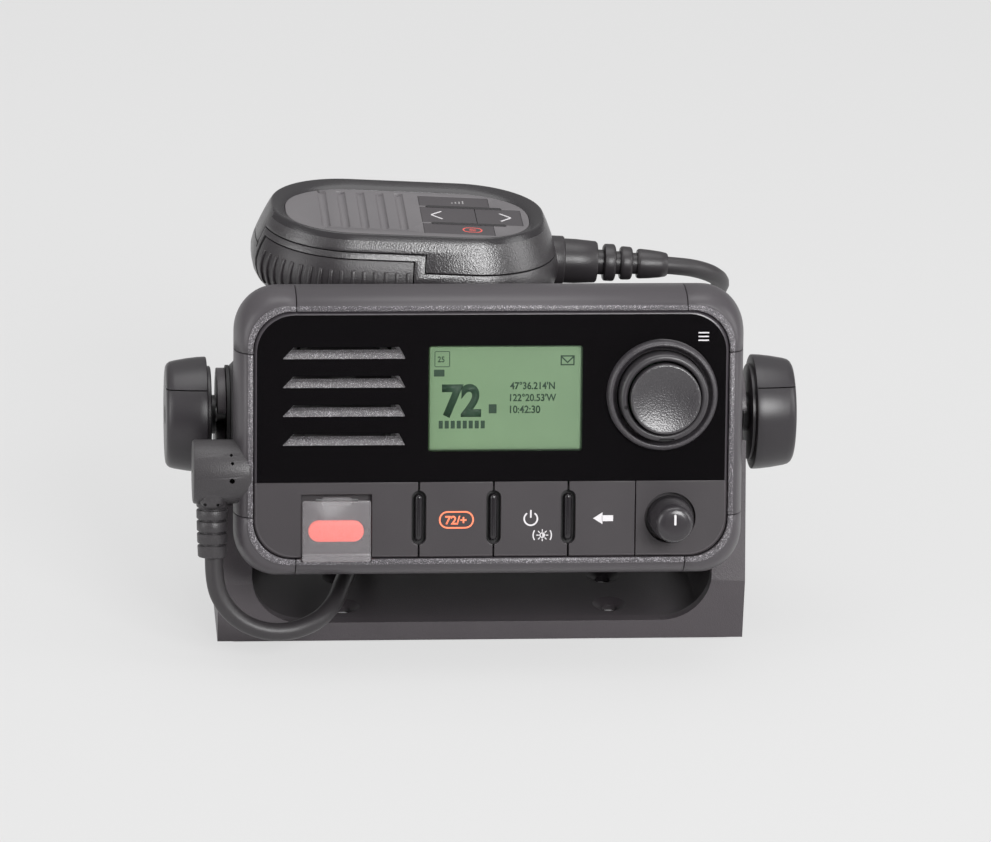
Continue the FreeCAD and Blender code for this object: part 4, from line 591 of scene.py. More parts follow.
panel_gloss = moulded("panel_gloss", (0.0045, 0.0040, 0.0045), 0.07, 900, 0.0, change=0.02,
                      specular=0.42)
panel_bevel = moulded("panel_bevel", (0.050, 0.044, 0.050), 0.30, 2600, 0.05, change=0.05)
# the scoops' coarse texture is real; their light specks are painted glints
scoop_grain_and_glint = moulded("scoop_grain_and_glint", (0.090, 0.085, 0.088), 0.30, 2000, 0.45, 0.8,
                      (0.60, 0.58, 0.60))
grille_black = moulded("grille_black", (0.012, 0.011, 0.012), 0.5, 1750, 0.5)
# each step of the plate: how much less than its full size, and its depth
PANEL_STEPS = (
    (0, PANEL_BACK), (0, PANEL_FRONT + PANEL_BEVEL), (0.3, PANEL_FRONT + 0.55),
    (1.1, PANEL_FRONT + 0.12), (2 * PANEL_BEVEL, PANEL_FRONT))
LEVEL, UPRIGHT = (0, 0, 1), (1, 0, 0)
# how far back a tool is drawn that cuts right through
THROUGH = 8


def panel_plate(name, face_finish, bevel_finish):
    """The panel's whole plate, with its front edge bevelled all round in its own finish."""
    plate = begin_tile(name, PANEL_WIDTH, PANEL_HEIGHT, PANEL_CORNER, depth=PANEL_BACK, segments=16)
    draw_out([(PANEL_WIDTH - less, PANEL_HEIGHT - less, depth) for less, depth in PANEL_STEPS])
    close_piece(plate, 15)
    plate.data.materials.append(face_finish)
    plate.data.materials.append(bevel_finish)
    for face in plate.data.polygons:
        if face.normal.y > -0.995 and face.center.y < (PANEL_FRONT + PANEL_BEVEL - LIP_REACH) * MM:
            face.material_index = 1
    return plate


def flatten_front(plate):
    """The large flat front keeps its own normals, so that no cut shows as a crease of light."""
    for face in plate.data.polygons:
        if abs(face.normal.y) > 0.9995:
            face.use_smooth = False


def keep_side(plate, facing, reach, beyond):
    """Cut a plate level or upright at this reach, and keep what is beyond it or before it."""
    pick(plate)
    bpy.ops.object.mode_set(mode="EDIT")
    bpy.ops.mesh.select_all(action="SELECT")
    bpy.ops.mesh.bisect(plane_co=Vector(facing) * reach * MM, plane_no=facing, use_fill=True,
                        clear_inner=beyond, clear_outer=not beyond)
    bpy.ops.mesh.select_all(action="SELECT")
    bpy.ops.mesh.normals_make_consistent(inside=False)
    bpy.ops.object.mode_set(mode="OBJECT")


def sink(tool, depth, material):
    """Make a cutting tool of a flat shape, by drawing it this far back."""
    bpy.ops.mesh.extrude_region_move(TRANSFORM_OT_translate={"value": (0, depth * MM, 0)})
    close_piece(tool)
    tool.data.materials.append(material)
    return tool


panel = panel_plate("front_panel_plate", panel_gloss, panel_bevel)
keep_side(panel, LEVEL, STRIP_TOP, True)
window_tool = begin_tile("window_tool", WINDOW[2], WINDOW[3], 1.0, WINDOW[0], WINDOW[1], -1, 4)
carve(panel, sink(window_tool, THROUGH, panel_gloss))
carve(panel, sink(begin_disc("selector_tool", SELECTOR_HOLE, *SELECTOR, -1), THROUGH, panel_gloss))

# each scoop is a trapezoid at the face and runs back and up to a narrow dark throat
SCOOP_FACE = [(-62.6, 0.0), (-29.4, 0.0), (-27.4, -3.8), (-66.2, -3.8)]
SCOOP_MIDDLE = [(-62.2, -0.1), (-30.0, -0.1), (-28.6, -2.0), (-64.6, -2.0)]
SCOOP_THROAT = [(-61.8, -0.1), (-31.0, -0.1), (-30.8, -0.8), (-62.4, -0.8)]


def scoop_tool(name, top):
    """The hollow of one scoop, drawn from the face to the throat."""
    tool = begin_tile(name, 20, SCOOP_HEIGHT, 0, SCOOP_ACROSS, top - SCOOP_HEIGHT / 2, -0.6)
    for _ in range(3):
        bpy.ops.mesh.extrude_region_move()
    bpy.ops.object.mode_set(mode="OBJECT")
    vertices = tool.data.vertices
    shapes = ((SCOOP_FACE, -0.4), (SCOOP_FACE, 0.45), (SCOOP_MIDDLE, 1.7), (SCOOP_THROAT, 4.0))
    for ring_index, (corners, depth) in enumerate(shapes):
        low_left, low_right, high_left, high_right = sorted(
            range(4 * ring_index, 4 * ring_index + 4),
            key=lambda index: (vertices[index].co.z, vertices[index].co.x))
        for index, corner in zip((high_left, high_right, low_right, low_left), corners):
            across, drop = corner
            vertices[index].co = (across * MM, (depth - LIP_REACH) * MM, (top + drop) * MM)
    bpy.ops.object.mode_set(mode="EDIT")
    close_piece(tool)
    run_modifier(tool, "BEVEL", width=1.3 * MM, segments=5, limit_method="ANGLE",
                 angle_limit=math.radians(40), use_clamp_overlap=True)
    tool.data.materials.append(scoop_grain_and_glint)
    return tool


for index, top in enumerate(SCOOP_TOPS):
    carve(panel, scoop_tool(f"scoop_tool_{index}", top))
smooth(panel, 25)
flatten_front(panel)
seat(panel, radio_seat, "radio")
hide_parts("front_panel")
dress(grille_black, "sound_grille")


# ---- key strip
# The matt lower strip and its three keys are moulded in one satin grey plastic. A slot at each seam
# holds an upright black rubber bar, glossy on its crown.

KEY_LEFT, KEY_PITCH, KEY_GAP, KEYS_END = -22.9, 23.7, 0.28, 46.0
DIVIDER_HEIGHT, DIVIDER_Z = 17.2, -26.4
DIVIDER_COUNT = 3
KEY_BACK = 2.7
strip_satin = moulded("strip_satin", (0.035, 0.030, 0.033), 0.42, 3000, 0.08, change=0.07)
strip_bevel = moulded("strip_bevel", (0.064, 0.057, 0.061), 0.32, 3000, 0.05, change=0.05)
divider_gloss = moulded("divider_gloss", (0.016, 0.014, 0.016), 0.20, 1200, 0.04, change=0.05)


def strip_part(name, tools, ends=()):
    """One length of the key strip, with its tools cut out, between two values of x."""
    part = panel_plate(name, strip_satin, strip_bevel)
    keep_side(part, LEVEL, STRIP_TOP - 0.1, False)
    for tool in tools:
        carve(part, tool)
    for end, beyond in zip(ends, (True, False)):
        keep_side(part, UPRIGHT, end, beyond)
    break_edges(part, 0.3, 3, 40)
    flatten_front(part)
    return part


def slot_tool(index):
    """The hollow of one divider slot."""
    return sink(begin_tile("slot_tool", 4.6, DIVIDER_HEIGHT, 2.25, KEY_LEFT + index * KEY_PITCH,
                           DIVIDER_Z, -1, 8), THROUGH, strip_bevel)


def tile_piece(name, corner, stations, across, up, segments, angle=40):
    """A whole piece that faces the viewer. Each station is its width, height and depth."""
    width, height, depth = stations[0]
    piece = begin_tile(name, width, height, corner, across, up, depth, segments)
    draw_out(stations, across, up)
    return close_piece(piece, angle)


VOLUME = (57.0, -26.9)
WELL_RADIUS, WELL_DEPTH = 8.0, 3.4
TRAY_FRONT, TRAY_BACK, TRAY_FOOT = 3.0, 4.2, -39.0
recess_tool = box_tool("recess_tool", (BAY_LEFT, -FAR_ALONG, -FAR_UP),
                       (BAY_RIGHT, BAY_FLOOR - LIP_REACH, BAY_TOP), strip_satin)
keys_tool = box_tool("keys_tool", (KEY_LEFT - KEY_GAP, -FAR_ALONG, -FAR_UP),
                     (KEYS_END, -30, STRIP_TOP + 1), strip_satin)
well_tool = sink(begin_disc("well_tool", WELL_RADIUS, *VOLUME, -1), WELL_DEPTH, strip_satin)
strip = strip_part("key_strip", [keys_tool, slot_tool(0), recess_tool, well_tool])
tray = box_tool("recess_floor", (BAY_LEFT - 0.5, TRAY_FRONT - LIP_REACH, TRAY_FOOT),
                (BAY_RIGHT + 0.5, TRAY_BACK - LIP_REACH, BAY_TOP + 0.4), strip_satin)
join([strip, tray])
seat(strip, radio_seat, "radio")
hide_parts("key_panel")
for index, name in enumerate(("key_channel", "key_power", "key_back")):
    left = KEY_LEFT + index * KEY_PITCH
    right = left + KEY_PITCH if index < 2 else KEYS_END
    tools = [slot_tool(side) for side in (index, index + 1) if side < DIVIDER_COUNT]
    tools.append(box_tool("key_back_tool", (-FAR_ACROSS, KEY_BACK - LIP_REACH, -FAR_UP),
                          (FAR_ACROSS, FAR_ALONG, FAR_UP), strip_satin))
    key = strip_part(name + "_cap", tools, (left + KEY_GAP, right - KEY_GAP))
    seat(key, radio_seat, name)
    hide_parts(name)
for index in range(DIVIDER_COUNT):
    bar = tile_piece(f"divider_bar_{index}", 1.15, [
        (2.4, 14.8, 3.4), (2.4, 14.8, 1.5), (2.1, 14.5, 1.05), (1.4, 13.7, 0.75),
        (0.5, 12.6, 0.62)], KEY_LEFT + index * KEY_PITCH, DIVIDER_Z, 8, 60)
    seat(bar, radio_seat, "radio", divider_gloss)
    if index == 0:
        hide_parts("key_dividers")


# ---- display
# A green liquid-crystal screen behind a thin clear window. Its marks are dark green: a channel
# number, lines of figures and small signs.

# the screen's faint glow is painted light, painted lighter and bluer towards the right
display_green = moulded("display_green", (0.150, 0.235, 0.130), 0.35, 900, 0.0, change=0.03,
                        glow=0.19)
SCREEN_HALF = 24
tree = display_green.node_tree
screen_parts = add_node(tree, "ShaderNodeSeparateXYZ", {
    0: add_node(tree, "ShaderNodeTexCoord", {})["Object"]})
to_right = range_node(tree, screen_parts["X"], (WINDOW[0] - SCREEN_HALF) * MM,
                      (WINDOW[0] + SCREEN_HALF) * MM, 0.0, 1.0)
painted_screen_glow = tint_node(tree, to_right, (0.150, 0.262, 0.125), (0.190, 0.290, 0.190))
set_inputs(tree, tree.nodes["Principled BSDF"], {"Emission Color": painted_screen_glow})
clear_window = moulded("clear_window", (0.01, 0.01, 0.01), 0.06, 900, 0.0, change=0.0)
clear_window.node_tree.nodes["Principled BSDF"].inputs["Alpha"].default_value = 0.06
display_dark = moulded("display_dark", (0.012, 0.045, 0.020), 0.5, 900, 0.0, change=0.02)
dress(display_green, "lcd_module")
dress(clear_window, "display_glass")
MARK_THICKNESS = 0.04
SCREEN_DEPTH = 1.68


def ink(name, colour, **more):
    """The finish of a printed mark."""
    return moulded(name, colour, 0.5, 1800, 0.0, change=0.03, **more)


legend_white = ink("legend_white", (0.62, 0.60, 0.61))
# the orange print's glow is painted light
legend_orange_painted_glow = ink("legend_orange_painted_glow", (0.95, 0.21, 0.10), glow=0.25,
                    glow_colour=(1.0, 0.22, 0.10))


def figures(name, text, height, across, up, depth, squeeze=1.0, heavy=0.0):
    """Plain figures that face the viewer, as a thin mesh. Their lower left corner is at the place."""
    bpy.ops.object.text_add()
    mark = bpy.context.object
    mark.name = name
    mark.data.body = text
    mark.data.offset = heavy
    bpy.ops.object.convert(target="MESH")
    mark = bpy.context.object
    low = min(vertex.co.x for vertex in mark.data.vertices)
    top = max(vertex.co.y for vertex in mark.data.vertices)
    scale = height * MM / top
    mark.data.transform(Matrix.Translation((-low, 0, 0)))
    mark.rotation_euler = (math.pi / 2, 0, 0)
    mark.scale = (scale * squeeze, scale, scale)
    mark.location = (across * MM, (depth - LIP_REACH) * MM, up * MM)
    bpy.ops.object.transform_apply()
    return mark


def plain_mark(name, width, height, corner, across, up, depth, line=None):
    """A solid shape, or only its outline if a line width is given, that faces the viewer."""
    mark = begin_tile(name, width, height, corner, across, up, depth, 6)
    if line:
        bpy.ops.mesh.inset(thickness=line * MM)
        bpy.ops.mesh.delete(type="FACE")
    bpy.ops.object.mode_set(mode="OBJECT")
    return mark


def turn_mark(mark, degrees, across, up):
    """Turn a mark about a place on the face, clockwise as the viewer sees it."""
    middle = Matrix.Translation((across * MM, 0, up * MM))
    mark.data.transform(middle @ Matrix.Rotation(math.radians(degrees), 4, "Y") @ middle.inverted())
    return mark


def join_marks(name, marks, material):
    """Make one thin print of several marks."""
    for mark in marks:
        mark.data.materials.clear()
        mark.data.materials.append(material)
    print_piece = join(marks)
    print_piece.name = name
    print_piece.data.name = name
    bpy.ops.object.mode_set(mode="EDIT")
    bpy.ops.mesh.select_all(action="SELECT")
    bpy.ops.mesh.remove_doubles(threshold=0.000001)
    bpy.ops.object.mode_set(mode="OBJECT")
    for face in print_piece.data.polygons:
        if face.normal.y > 0:
            face.flip()
    print_piece.data.update()
    run_modifier(print_piece, "SOLIDIFY", thickness=MARK_THICKNESS * MM, offset=-1.0)
    return print_piece


LETTER_UP = 23.75
screen_marks = [
    figures("channel_number", "72", 9.9, -15.8, 6.2, SCREEN_DEPTH, 0.92, 0.045),
    figures("power_figure", "25", 1.8, -17.2, 23.1, SCREEN_DEPTH, 0.9, 0.02),
    plain_mark("power_box", 4.9, 5.1, 0.5, -15.75, 24.05, SCREEN_DEPTH, 0.24),
    plain_mark("mode_box", 3.35, 2.2, 0.2, -16.7, 19.6, SCREEN_DEPTH),
    plain_mark("lock_box", 2.5, 2.9, 0.2, 0.3, 8.15, SCREEN_DEPTH),
    plain_mark("letter_sign", 4.45, 3.2, 0.1, 23.9, 23.5, SCREEN_DEPTH, 0.42),
]
for name, text, up in (("figures_1", "47°36.214'N", 14.4), ("figures_2", "122°20.53'W", 10.6),
                       ("figures_3", "10:42:30", 6.8)):
    screen_marks.append(figures(name, text, 2.35, 5.75, up, SCREEN_DEPTH, 0.90, 0.022))
for name, across, lean in (("letter_left", 22.95, 44), ("letter_right", 24.85, -44)):
    flap = plain_mark(name, 3.0, 0.42, 0, across, LETTER_UP, SCREEN_DEPTH)
    screen_marks.append(turn_mark(flap, lean, across, LETTER_UP))
for index in range(8):
    screen_marks.append(plain_mark(f"level_{index}", 1.3, 2.5, 0.15, -16.1 + 1.9 * index, 3.15,
                                   SCREEN_DEPTH))
screen_print = join_marks("screen_print", screen_marks, display_dark)
seat(screen_print, radio_seat, "radio")


# ---- legends
# Pad-printed marks on the keys in white and orange: generic signs only.

PRINT_DEPTH = PANEL_FRONT - 0.01
channel_print = join_marks("channel_print", [
    plain_mark("channel_pill", 11.1, 5.6, 2.75, -11.0, -27.1, PRINT_DEPTH, 0.5),
    figures("channel_digits", "72/+", 2.7, -14.6, -28.5, PRINT_DEPTH, 1.0, 0.03),
], legend_orange_painted_glow)
seat(channel_print, radio_seat, "key_channel")

menu_print = join_marks("menu_print", [
    plain_mark(f"menu_line_{index}", 3.4, 0.42, 0.1, 66.9, 29.9 + 1.2 * index, PRINT_DEPTH)
    for index in range(3)], legend_white)
seat(menu_print, radio_seat, "radio")


def ring_mark(name, radius, line, across, up, depth, start, end, steps=28):
    """A round line, open between its end and its start, in degrees from the right."""
    spots = []
    for step in range(steps + 1):
        bearing = math.radians(start + (end - start) * step / steps)
        for reach in (radius - line / 2, radius + line / 2):
            spots.append(((across + reach * math.cos(bearing)) * MM, (depth - LIP_REACH) * MM,
                          (up + reach * math.sin(bearing)) * MM))
    faces = [(2 * step, 2 * step + 1, 2 * step + 3, 2 * step + 2) for step in range(steps)]
    mark = bpy.data.objects.new(name, bpy.data.meshes.new(name))
    bpy.context.scene.collection.objects.link(mark)
    mark.data.from_pydata(spots, [], faces)
    mark.data.update()
    return mark


POWER_SIGN = (12.6, -26.9)
LIGHT_SIGN = (16.3, -32.2)
ARROW = (33.9, -26.9)
power_marks = [
    ring_mark("power_ring", 2.1, 0.5, *POWER_SIGN, PRINT_DEPTH, 125, 415),
    plain_mark("power_stroke", 0.5, 2.5, 0.1, POWER_SIGN[0], POWER_SIGN[1] + 1.55, PRINT_DEPTH),
    ring_mark("light_left", 2.9, 0.38, *LIGHT_SIGN, PRINT_DEPTH, 148, 212),
    ring_mark("light_right", 2.9, 0.38, *LIGHT_SIGN, PRINT_DEPTH, -32, 32),
    ring_mark("light_disc", 0.72, 0.34, *LIGHT_SIGN, PRINT_DEPTH, 0, 360),
    ring_mark("light_half", 0.36, 0.72, *LIGHT_SIGN, PRINT_DEPTH, -90, 90),
]
for index in range(8):
    ray = plain_mark(f"light_ray_{index}", 0.8, 0.3, 0, LIGHT_SIGN[0] + 1.5, LIGHT_SIGN[1],
                     PRINT_DEPTH)
    power_marks.append(turn_mark(ray, index * 45, *LIGHT_SIGN))
power_print = join_marks("power_print", power_marks, legend_white)
seat(power_print, radio_seat, "key_power")
arrow_head = plain_mark("arrow_head", 3.0, 3.8, 0, *ARROW, PRINT_DEPTH)
for vertex in arrow_head.data.vertices:
    if vertex.co.x < ARROW[0] * MM:
        vertex.co.z = ARROW[1] * MM
back_print = join_marks("back_print", [
    arrow_head, plain_mark("arrow_shaft", 3.6, 1.9, 0.05, 37.0, ARROW[1], PRINT_DEPTH)], legend_white)
seat(back_print, radio_seat, "key_back")


# ---- distress key and its cover
# A soft red key lies in a recess of the strip. A smoky clear cover hangs over it from a steel pin and
# a thicker lip along its foot gives a finger hold.

PIN_MIDDLE = -48.95
# the red key's glow is painted light: the key is no lamp
distress_red = moulded("distress_red", (0.95, 0.12, 0.08), 0.42, 1600, 0.05, change=0.05,
                       glow=0.6, glow_colour=(1.0, 0.14, 0.10))
# its light specks are painted glints
cover_clear = moulded("cover_clear", (0.36, 0.34, 0.35), 0.16, 2300, 0.02, 0.10, (0.70, 0.67, 0.69),
                      change=0.10)
tree = cover_clear.node_tree
haze = noise_node(tree, tree.nodes["Texture Coordinate"].outputs["Object"], 900, 4)
see_through = range_node(tree, haze, 0.35, 0.75, 0.20, 0.28)
set_inputs(tree, tree.nodes["Principled BSDF"], {"Alpha": see_through})
pin_steel = moulded("pin_steel", (0.10, 0.10, 0.10), 0.35, 2500, 0.08, metal=1.0)

pill = tile_piece("distress_key_cap", 3.35, [
    (17.6, 6.8, 4.8), (17.6, 6.8, 2.1), (17.2, 6.4, 1.75), (16.2, 5.4, 1.6)],
    PIN_MIDDLE, -30.8, 12)
seat(pill, radio_seat, "distress_button", distress_red)
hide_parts("distress_button")

lid = tile_piece("distress_cover_lid", 0.7, [
    (21.6, 19.5, -0.2), (21.6, 19.5, -0.95), (21.2, 19.1, -1.1)], PIN_MIDDLE, -30.35, 4)
foot = tile_piece("cover_foot", 0.6, [
    (21.6, 2.6, -0.2), (21.6, 2.6, -1.2), (21.2, 2.2, -1.4)], PIN_MIDDLE, -38.8, 4)
knuckle = tile_piece("cover_knuckle", 0.9, [
    (9.6, 2.6, 0.6), (9.6, 2.6, -1.0), (8.8, 1.8, -1.4)], PIN_MIDDLE, -20.9, 6)
cover = join([lid, foot, knuckle])
seat(cover, radio_seat, "distress_cover", cover_clear)
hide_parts("distress_cover")
dress(pin_steel, "cover_pin")


# ---- channel selector
# A fixed collar with a rolled, textured rim stands on the panel. A ring turns inside it, and the
# dished button in the middle is pressed to enter.

# the rim's texture is real; its light specks are painted glints
collar_satin = moulded("collar_satin", (0.040, 0.036, 0.040), 0.33, 2100, 0.30, 0.35,
                       (0.20, 0.19, 0.20))
ring_satin = moulded("ring_satin", (0.036, 0.033, 0.036), 0.34, 3200, 0.08)
# its grain is real; its light specks are painted glints
button_grain_and_glint = moulded("button_grain_and_glint", (0.026, 0.023, 0.026), 0.30, 1900, 0.30, 0.15,
                       (0.16, 0.15, 0.16), specular=0.9)
# the walls of small holes, notches and slits are painted near black: painted shade
hole_painted_shade = moulded("hole_painted_shade", (0.006, 0.005, 0.006), 0.6, 1500, 0.1)

COLLAR_PROFILE = [(14.4, 0.4), (17.7, 0.4), (17.65, -0.5), (17.4, -1.5), (17.0, -2.2), (16.5, -2.55),
                  (16.1, -2.6), (15.8, -2.4), (15.5, -1.6), (15.1, -0.6), (14.6, 0.1), (14.4, 0.2)]


def turned_ring(name, profile, across, up, sides=128):
    """A ring turned to this closed profile of radius and depth."""
    piece = begin_disc(name, profile[0][0], across, up, profile[0][1], sides)
    draw_ring([(radius, radius, depth) for radius, depth in profile], across, up)
    return piece


collar = close_piece(turned_ring("selector_rim", COLLAR_PROFILE, *SELECTOR), 50)
seat(collar, radio_seat, "radio", collar_satin)
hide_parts("selector_collar")

RING_PROFILE = [(11.7, 2.8), (14.05, 2.8), (14.05, -5.6), (13.9, -6.5), (13.5, -7.1), (12.9, -7.35),
                (12.3, -7.35), (11.95, -7.15), (11.7, -6.7)]
dial = close_piece(turned_ring("selector_dial", RING_PROFILE, *SELECTOR), 50)
dial.data.materials.append(ring_satin)
# the walls of the thumb notch and of the dot take painted shade
thumb_tool = box_tool("thumb_tool", (SELECTOR[0] - 1.6, -FAR_ALONG, SELECTOR[1] - 15.2),
                      (SELECTOR[0] + 3.2, -51.0, SELECTOR[1] - 12.9), hole_painted_shade)
carve(dial, thumb_tool)
dot_tool = begin_disc("dot_tool", 0.65, SELECTOR[0] - 12.3, SELECTOR[1] - 2.9, -9, 20)
carve(dial, sink(dot_tool, 2.3, hole_painted_shade))
smooth(dial, 50)
seat(dial, radio_seat, "selector_ring")
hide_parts("selector_ring")

button = begin_disc("selector_push", 11.15, *SELECTOR, -5.8, 128)
turn_out([(11.15, -5.8), (11.15, -9.7), (11.05, -10.1), (10.85, -10.32), (10.55, -10.38),
          (10.2, -10.33), (9.0, -10.08), (7.5, -9.81), (6.0, -9.6), (4.5, -9.45), (3.0, -9.35),
          (1.5, -9.3), (0.5, -9.29)], *SELECTOR)
close_piece(button, 60)
seat(button, radio_seat, "selector_button", button_grain_and_glint)
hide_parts("selector_button")


# ---- volume knob
# A small tapered knob with a domed end in a round well. Its white line shows where it is set.

volume_gloss = moulded("volume_gloss", (0.030, 0.027, 0.030), 0.24, 2600, 0.06)
knob = begin_disc("volume_grip", 7.2, *VOLUME, 1.3, 96)
turn_out([(7.2, 1.3), (6.9, -3.0), (6.6, -6.5), (6.2, -9.5), (5.8, -11.4), (5.3, -12.4),
          (4.5, -12.95), (3.2, -13.15), (1.5, -13.2), (0.4, -13.2)], *VOLUME)
close_piece(knob, 60)
seat(knob, radio_seat, "volume_knob", volume_gloss)
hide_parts("volume_knob")
knob_line = join_marks("volume_line", [
    plain_mark("volume_stroke", 0.7, 3.4, 0.3, VOLUME[0], VOLUME[1] + 1.6, -13.22)], legend_white)
seat(knob_line, radio_seat, "volume_knob")


# ---- microphone shells
# Two shells of textured black plastic meet in a stepped seam. The upper one carries a sunk face; one
# long side is open for the talk bar.

MIC_PLACE = Vector((-21.3, 30.0, 63.05)) * MM
MIC_ROLL, MIC_PITCH = math.radians(2.5), math.radians(12.5)
MIC_LENGTH, MIC_WIDTH, CORNER_RADIUS = 100.5, 66.0, 30.0
mic_seat = (radio_seat @ Matrix.Translation(MIC_PLACE) @ Matrix.Rotation(MIC_ROLL, 4, "Y")
            @ Matrix.Rotation(MIC_PITCH, 4, "X"))
# the shells' grain is real; their light specks are painted glints
mic_grain_and_glint = moulded("mic_grain_and_glint", (0.024, 0.021, 0.023), 0.30, 2000, 0.36, 0.25, (0.16, 0.15, 0.16),
                    specular=0.85)
rim_satin = moulded("rim_satin", (0.020, 0.018, 0.020), 0.24, 2600, 0.10)
# the faces cut in the shells' seam, the talk pocket and the key wells are painted near black: painted
# shade
seam_painted_shade = moulded("seam_painted_shade", (0.010, 0.009, 0.010), 0.5, 1750, 0.3)
MIC_PROFILE = [
    (80.0, 44.0, -4.3), (80.0, 44.0, -2.15), (80.3, 44.3, -1.95), (83.6, 48.2, -1.0),
    (87.2, 52.4, -0.15), (87.9, 53.2, -0.03), (88.5, 53.9, -0.08), (89.1, 54.5, -0.4),
    (90.8, 56.2, -2.0), (92.8, 58.3, -4.1), (95.6, 61.1, -7.4), (98.0, 63.6, -10.6),
    (99.6, 65.2, -13.2), (100.5, 66.0, -15.6), (100.3, 65.6, -18.0), (98.8, 63.8, -21.0),
    (96.0, 60.6, -23.6), (91.5, 56.5, -26.0), (87.0, 52.6, -27.4), (83.6, 49.4, -27.95),
    (80.0, 46.0, -28.0)]


def begin_pad(name, length, width, corner, height):
    """A flat tile with round corners that faces up in the microphone's own frame."""
    bpy.ops.mesh.primitive_plane_add(size=1, location=(0, 0, height * MM))
    piece = open_piece(name, (length * MM, width * MM, 1))
    bpy.ops.mesh.bevel(offset=corner * MM, segments=20, affect="VERTICES")
    return piece


def mic_block(name, floor, high):
    """A cutting block in the microphone's own frame, from past its near left end to a corner."""
    # the faces that the block cuts take painted shade
    return box_tool(name, (-70, -50, floor), high, seam_painted_shade)


first_length, first_width, first_height = MIC_PROFILE[0]
body = begin_pad("microphone_skin", MIC_LENGTH, MIC_WIDTH, CORNER_RADIUS, first_height)
bpy.ops.transform.resize(value=(first_length / MIC_LENGTH, first_width / MIC_WIDTH, 1),
                         center_override=(0, 0, 0))
draw_out(MIC_PROFILE, axis=2)
close_piece(body, 40)
body.data.materials.append(mic_grain_and_glint)
body.data.materials.append(rim_satin)
RIM_LOW, RIM_SLOPE, RIM_HALF_LENGTH = -2.0, 0.4, 44
for face in body.data.polygons:
    if (face.center.z > RIM_LOW * MM and face.normal.z > RIM_SLOPE
            and abs(face.center.x) < RIM_HALF_LENGTH * MM):
        face.material_index = 1

STEP_U, STEP_W, SPLIT_W, SHELL_GAP = 4.6, -5.4, -10.9, 0.3
TALK_END, TALK_TOP = 0.5, -7.85
PAST_MIC = (70, 50, 10)
front_shell = copy_of(body, "microphone_front")
carve(front_shell, mic_block("front_keep", SPLIT_W, PAST_MIC), "INTERSECT")
carve(front_shell, mic_block("front_step", -30, (STEP_U, -8.0, STEP_W)))
rear_shell = copy_of(body, "microphone_rear")
carve(rear_shell, mic_block("rear_keep", SPLIT_W - SHELL_GAP, PAST_MIC))
rear_step = copy_of(body, "microphone_step")
carve(rear_step, mic_block("step_keep", SPLIT_W - 1.5, (
    STEP_U - SHELL_GAP, -8.0 - SHELL_GAP, STEP_W - SHELL_GAP)), "INTERSECT")
carve(rear_shell, rear_step, "UNION")
carve(rear_shell, mic_block("talk_pocket", -24.3, (TALK_END + 0.35, -10.5, -7.5)))
for shell in (front_shell, rear_shell):
    break_edges(shell, 0.35, 2, 45)
    seat(shell, mic_seat, "microphone")
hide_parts("mic_front_shell")
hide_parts("mic_rear_shell")


# ---- talk bar
# A curved bar of softer black plastic along one side. Upright ribs give the thumb a grip.

# its light specks are painted glints
talk_satin = moulded("talk_satin", (0.024, 0.021, 0.023), 0.36, 2300, 0.30, 0.2, (0.10, 0.09, 0.10))
talk = copy_of(body, "talk_grip")
carve(talk, mic_block("talk_keep", -24.0, (TALK_END, -12.0, TALK_TOP)), "INTERSECT")


def grow(name, share_across, share_along):
    """A copy of the whole body, scaled about its middle line."""
    twin = copy_of(body, name)
    twin.data.transform(Matrix.Diagonal((share_across, share_along, 1, 1)))
    return twin


carve(talk, grow("talk_inner", 0.94, 0.91))
break_edges(talk, 0.5, 3, 45)
RIB_COUNT, RIB_START, RIB_PITCH, RIB_STRAIGHT = 16, 1.6, 3.55, 20.5
RIB_MIDDLE = -16.8
RIB_LINE, CORNER_MIDDLE = -32.0, (-20.2, -3.0)
ribs = box_tool("talk_ribs", (-0.6, -2.5, -5.8), (0.6, 2.5, 5.8), seam_painted_shade)
rib_blocks = [ribs] + [copy_of(ribs, f"talk_rib_{index}") for index in range(1, RIB_COUNT)]
for index, rib in enumerate(rib_blocks):
    along = RIB_START + index * RIB_PITCH
    if along < RIB_STRAIGHT:
        place = Matrix.Translation(Vector((TALK_END - along, RIB_LINE, RIB_MIDDLE)) * MM)
    else:
        bearing = (along - RIB_STRAIGHT) / CORNER_RADIUS
        place = (Matrix.Translation(Vector((*CORNER_MIDDLE, RIB_MIDDLE)) * MM)
                 @ Matrix.Rotation(-bearing, 4, "Z")
                 @ Matrix.Translation((0, (RIB_LINE - CORNER_MIDDLE[1]) * MM, 0)))
    rib.data.transform(place)
join(rib_blocks)
carve(ribs, grow("rib_skin", 1.012, 1.018), "INTERSECT")
break_edges(ribs, 0.3, 2, 45)
for piece in (talk, ribs):
    piece.data.materials.clear()
    piece.data.materials.append(talk_satin)
join([talk, ribs])
seat(talk, mic_seat, "talk_bar")
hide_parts("talk_bar")
bpy.data.objects.remove(body)


# ---- microphone face and keys
# A satin plate with sound grooves fills the sunk face. Four keys stand flush in it, with two dark
# slots between their rows.

